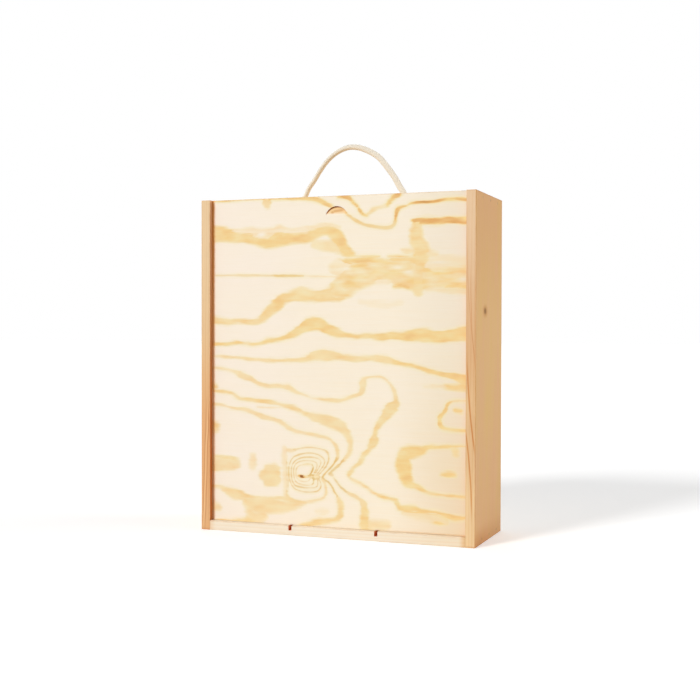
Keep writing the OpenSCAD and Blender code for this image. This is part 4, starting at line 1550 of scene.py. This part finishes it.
def nailTree():
    # instances a headed nail, pointing down its own z, on every vertex of the piece
    tree = bpy.data.node_groups.new("headedNails", "GeometryNodeTree")
    face = tree.interface
    face.new_socket("Geometry", in_out="INPUT", socket_type="NodeSocketGeometry")
    wanted = {}
    for label, kind in (("Shank Width", "Float"), ("Head Width", "Float"), ("Head Thickness", "Float"),
                        ("Length", "Float"), ("Turn", "Vector"), ("Finish", "Material")):
        wanted[label] = face.new_socket(label, in_out="INPUT", socket_type="NodeSocket" + kind).identifier
    face.new_socket("Geometry", in_out="OUTPUT", socket_type="NodeSocketGeometry")

    def add(kind, settings, inputs):
        node = tree.nodes.new(kind)
        for key, value in settings.items():
            setattr(node, key, value)
        for key, value in inputs.items():
            if isinstance(value, bpy.types.NodeSocket):
                tree.links.new(value, node.inputs[key])
            else:
                node.inputs[key].default_value = value
        return node

    def maths(operation, first, second):
        return add("ShaderNodeMath", {"operation": operation}, {0: first, 1: second}).outputs[0]

    n = nails
    given = tree.nodes.new("NodeGroupInput").outputs
    thick = given["Head Thickness"]
    headRadius = maths("MULTIPLY", given["Head Width"], 0.5)
    shankRadius = maths("MULTIPLY", given["Shank Width"], 0.5)
    crown = maths("MULTIPLY", thick, n["crown"])
    shelf = maths("MULTIPLY", thick, 1 - n["crown"])
    tip = maths("MULTIPLY", given["Shank Width"], n["point"])
    shaft = maths("SUBTRACT", maths("SUBTRACT", given["Length"], thick), tip)

    def cone(topRadius, bottomRadius, depth, lift):
        # from lift down to lift - depth
        made = add("GeometryNodeMeshCone", {"fill_type": "NGON"}, {
            "Vertices": n["sides"], "Side Segments": 1, "Radius Top": topRadius,
            "Radius Bottom": bottomRadius, "Depth": depth})
        low = maths("SUBTRACT", lift, depth)
        offset = add("ShaderNodeCombineXYZ", {}, {"Z": low}).outputs[0]
        moved = {"Geometry": made.outputs["Mesh"], "Translation": offset}
        return add("GeometryNodeTransform", {}, moved).outputs[0]

    underCrown = maths("MULTIPLY", crown, -1.0)
    underHead = maths("MULTIPLY", thick, -1.0)
    underShaft = maths("SUBTRACT", underHead, shaft)
    parts = [
        cone(maths("MULTIPLY", headRadius, n["crownWidth"]), headRadius, crown, 0.0),
        cone(headRadius, headRadius, shelf, underCrown),
        cone(shankRadius, shankRadius, shaft, underHead),
        cone(shankRadius, maths("MULTIPLY", shankRadius, n["pointWidth"]), tip, underShaft),
    ]
    nail = tree.nodes.new("GeometryNodeJoinGeometry")
    for part in parts:
        tree.links.new(part, nail.inputs[0])
    points = add("GeometryNodeMeshToPoints", {}, {"Mesh": given["Geometry"]}).outputs[0]
    placed = add("GeometryNodeInstanceOnPoints", {}, {
        "Points": points, "Instance": nail.outputs[0], "Rotation": given["Turn"]}).outputs[0]
    real = add("GeometryNodeRealizeInstances", {}, {"Geometry": placed}).outputs[0]
    dressed = add("GeometryNodeSetMaterial", {}, {"Geometry": real, "Material": given["Finish"]}).outputs[0]
    out = tree.nodes.new("NodeGroupOutput")
    tree.links.new(dressed, out.inputs[0])
    return tree, wanted


nailNodes, nailInputs = nailTree()
steel = steelMaterial()


def nailRow(node, spots, turn, sizes):
    width, head, length = sizes
    seeds = meshPiece(node + "_spots", spots, [])
    made = seeds.modifiers.new("nails", "NODES")
    made.node_group = nailNodes
    for label, value in (("Shank Width", width * mm), ("Head Width", head * mm),
                         ("Head Thickness", nails["headThick"] * mm), ("Length", length * mm),
                         ("Turn", turn), ("Finish", steel)):
        made[nailInputs[label]] = value
    ready = seeds.evaluated_get(bpy.context.evaluated_depsgraph_get())
    mesh = bpy.data.meshes.new_from_object(ready)
    seeds.modifiers.remove(made)
    bpy.data.objects.remove(seeds)
    piece = bpy.data.objects.new(node + "_steel", mesh)
    scene.collection.objects.link(piece)
    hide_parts(node)
    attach(piece, "case")


def makeNails():
    n = nails
    heights = list(zip(n["pinHeights"], ("bottom", "top")))
    rear = box["back"] - n["sunk"]
    inward = (-math.pi / 2, 0.0, 0.0)
    for side, sideName in ((-1, "left"), (1, "right")):
        edge = side * (box["half"] - n["sunk"])
        for height, heightName in heights:
            spots = [(edge, depth, height) for depth in n["pinDepths"]]
            nailRow(f"pins_{heightName}_{sideName}", spots, (0.0, side * math.pi / 2, 0.0), n["pin"])
        spots = [(side * n["tackAcross"], rear, z) for z in n["tackHeights"]]
        nailRow("tacks_" + sideName, spots, inward, n["tack"])
    for height, heightName in heights:
        spots = [(x, rear, height) for x in n["bayAcross"]]
        nailRow("tacks_" + heightName, spots, inward, n["tack"])


makeNails()
print("pins and tacks ready")


# what each piece rides on

for piece in woodPieces:
    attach(piece, "case")

cotton = cordMaterial()
for piece, node in zip(endPieces, ("cord_end_left", "cord_end_right")):
    piece.data.materials.append(cotton)
    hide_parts(node)
    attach(piece, "case")

archCord.data.materials.append(cotton)
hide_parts("handle_cord")
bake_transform(archCord)
print("pieces in place")


# floor, backdrop and light

studio = dict(
    floorSize=30.0,
    floorColour=(0.86, 0.86, 0.86, 1.0),
    floorLift=0.36,  # what the camera alone sees on top of the lit floor
    fill=0.27,
    suns=[  # name, towards the light, strength, width in degrees
        ("key", (-0.40, -0.80, 0.50), 2.05, 16),
        ("right", (0.90, 0.26, 0.30), 1.35, 45),
        ("back", (-0.45, 0.80, 0.40), 0.80, 50),
    ],
)


def makeSun(name, towards, strength, width):
    data = bpy.data.lights.new(name, "SUN")
    data.energy = strength
    data.angle = math.radians(width)
    lamp = bpy.data.objects.new(name, data)
    lamp.rotation_euler = Vector(towards).to_track_quat("Z", "Y").to_euler()
    scene.collection.objects.link(lamp)


def makeStudio():
    s = studio
    half = s["floorSize"] / 2
    floor = meshPiece("floor", [(-half, -half, 0), (half, -half, 0), (half, half, 0), (-half, half, 0)],
                      [(0, 1, 2, 3)], 1.0)
    material = bpy.data.materials.new("floor_white")
    material.use_nodes = True
    material.node_tree.nodes.clear()
    pen = Wire(material.node_tree)
    seen = pen.node("LightPath", {}, {}, "Is Camera Ray")
    glow = pen.node("Emission", {}, {"Color": (1, 1, 1, 1), "Strength": seen * s["floorLift"]})
    paint = pen.node("BsdfDiffuse", {}, {"Color": s["floorColour"]})
    both = pen.node("AddShader", {}, {0: paint, 1: glow})
    pen.node("OutputMaterial", {}, {"Surface": both})
    floor.data.materials.append(material)
    floor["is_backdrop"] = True

    world = bpy.data.worlds.new("studio")
    scene.world = world
    world.use_nodes = True
    world.node_tree.nodes.clear()
    pen = Wire(world.node_tree)
    path = pen.node("LightPath", {}, {}, "Is Camera Ray")
    outs = path.socket.node.outputs
    bright = path.most(Wire(path.tree, outs["Is Glossy Ray"]))
    bright = bright.most(Wire(path.tree, outs["Is Transmission Ray"]))
    strength = bright * (1 - s["fill"]) + s["fill"]
    sky = pen.node("Background", {}, {"Color": (1, 1, 1, 1), "Strength": strength})
    pen.node("OutputWorld", {}, {"Surface": sky})
    for sun in s["suns"]:
        makeSun(*sun)


makeStudio()
scene.view_settings.view_transform = "Standard"
print("studio ready")


def plain(value):
    if hasattr(value, "__len__"):
        return [plain(v) for v in value]
    return float(value)


{"cad": plain(cadBox), "visual": plain(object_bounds())}
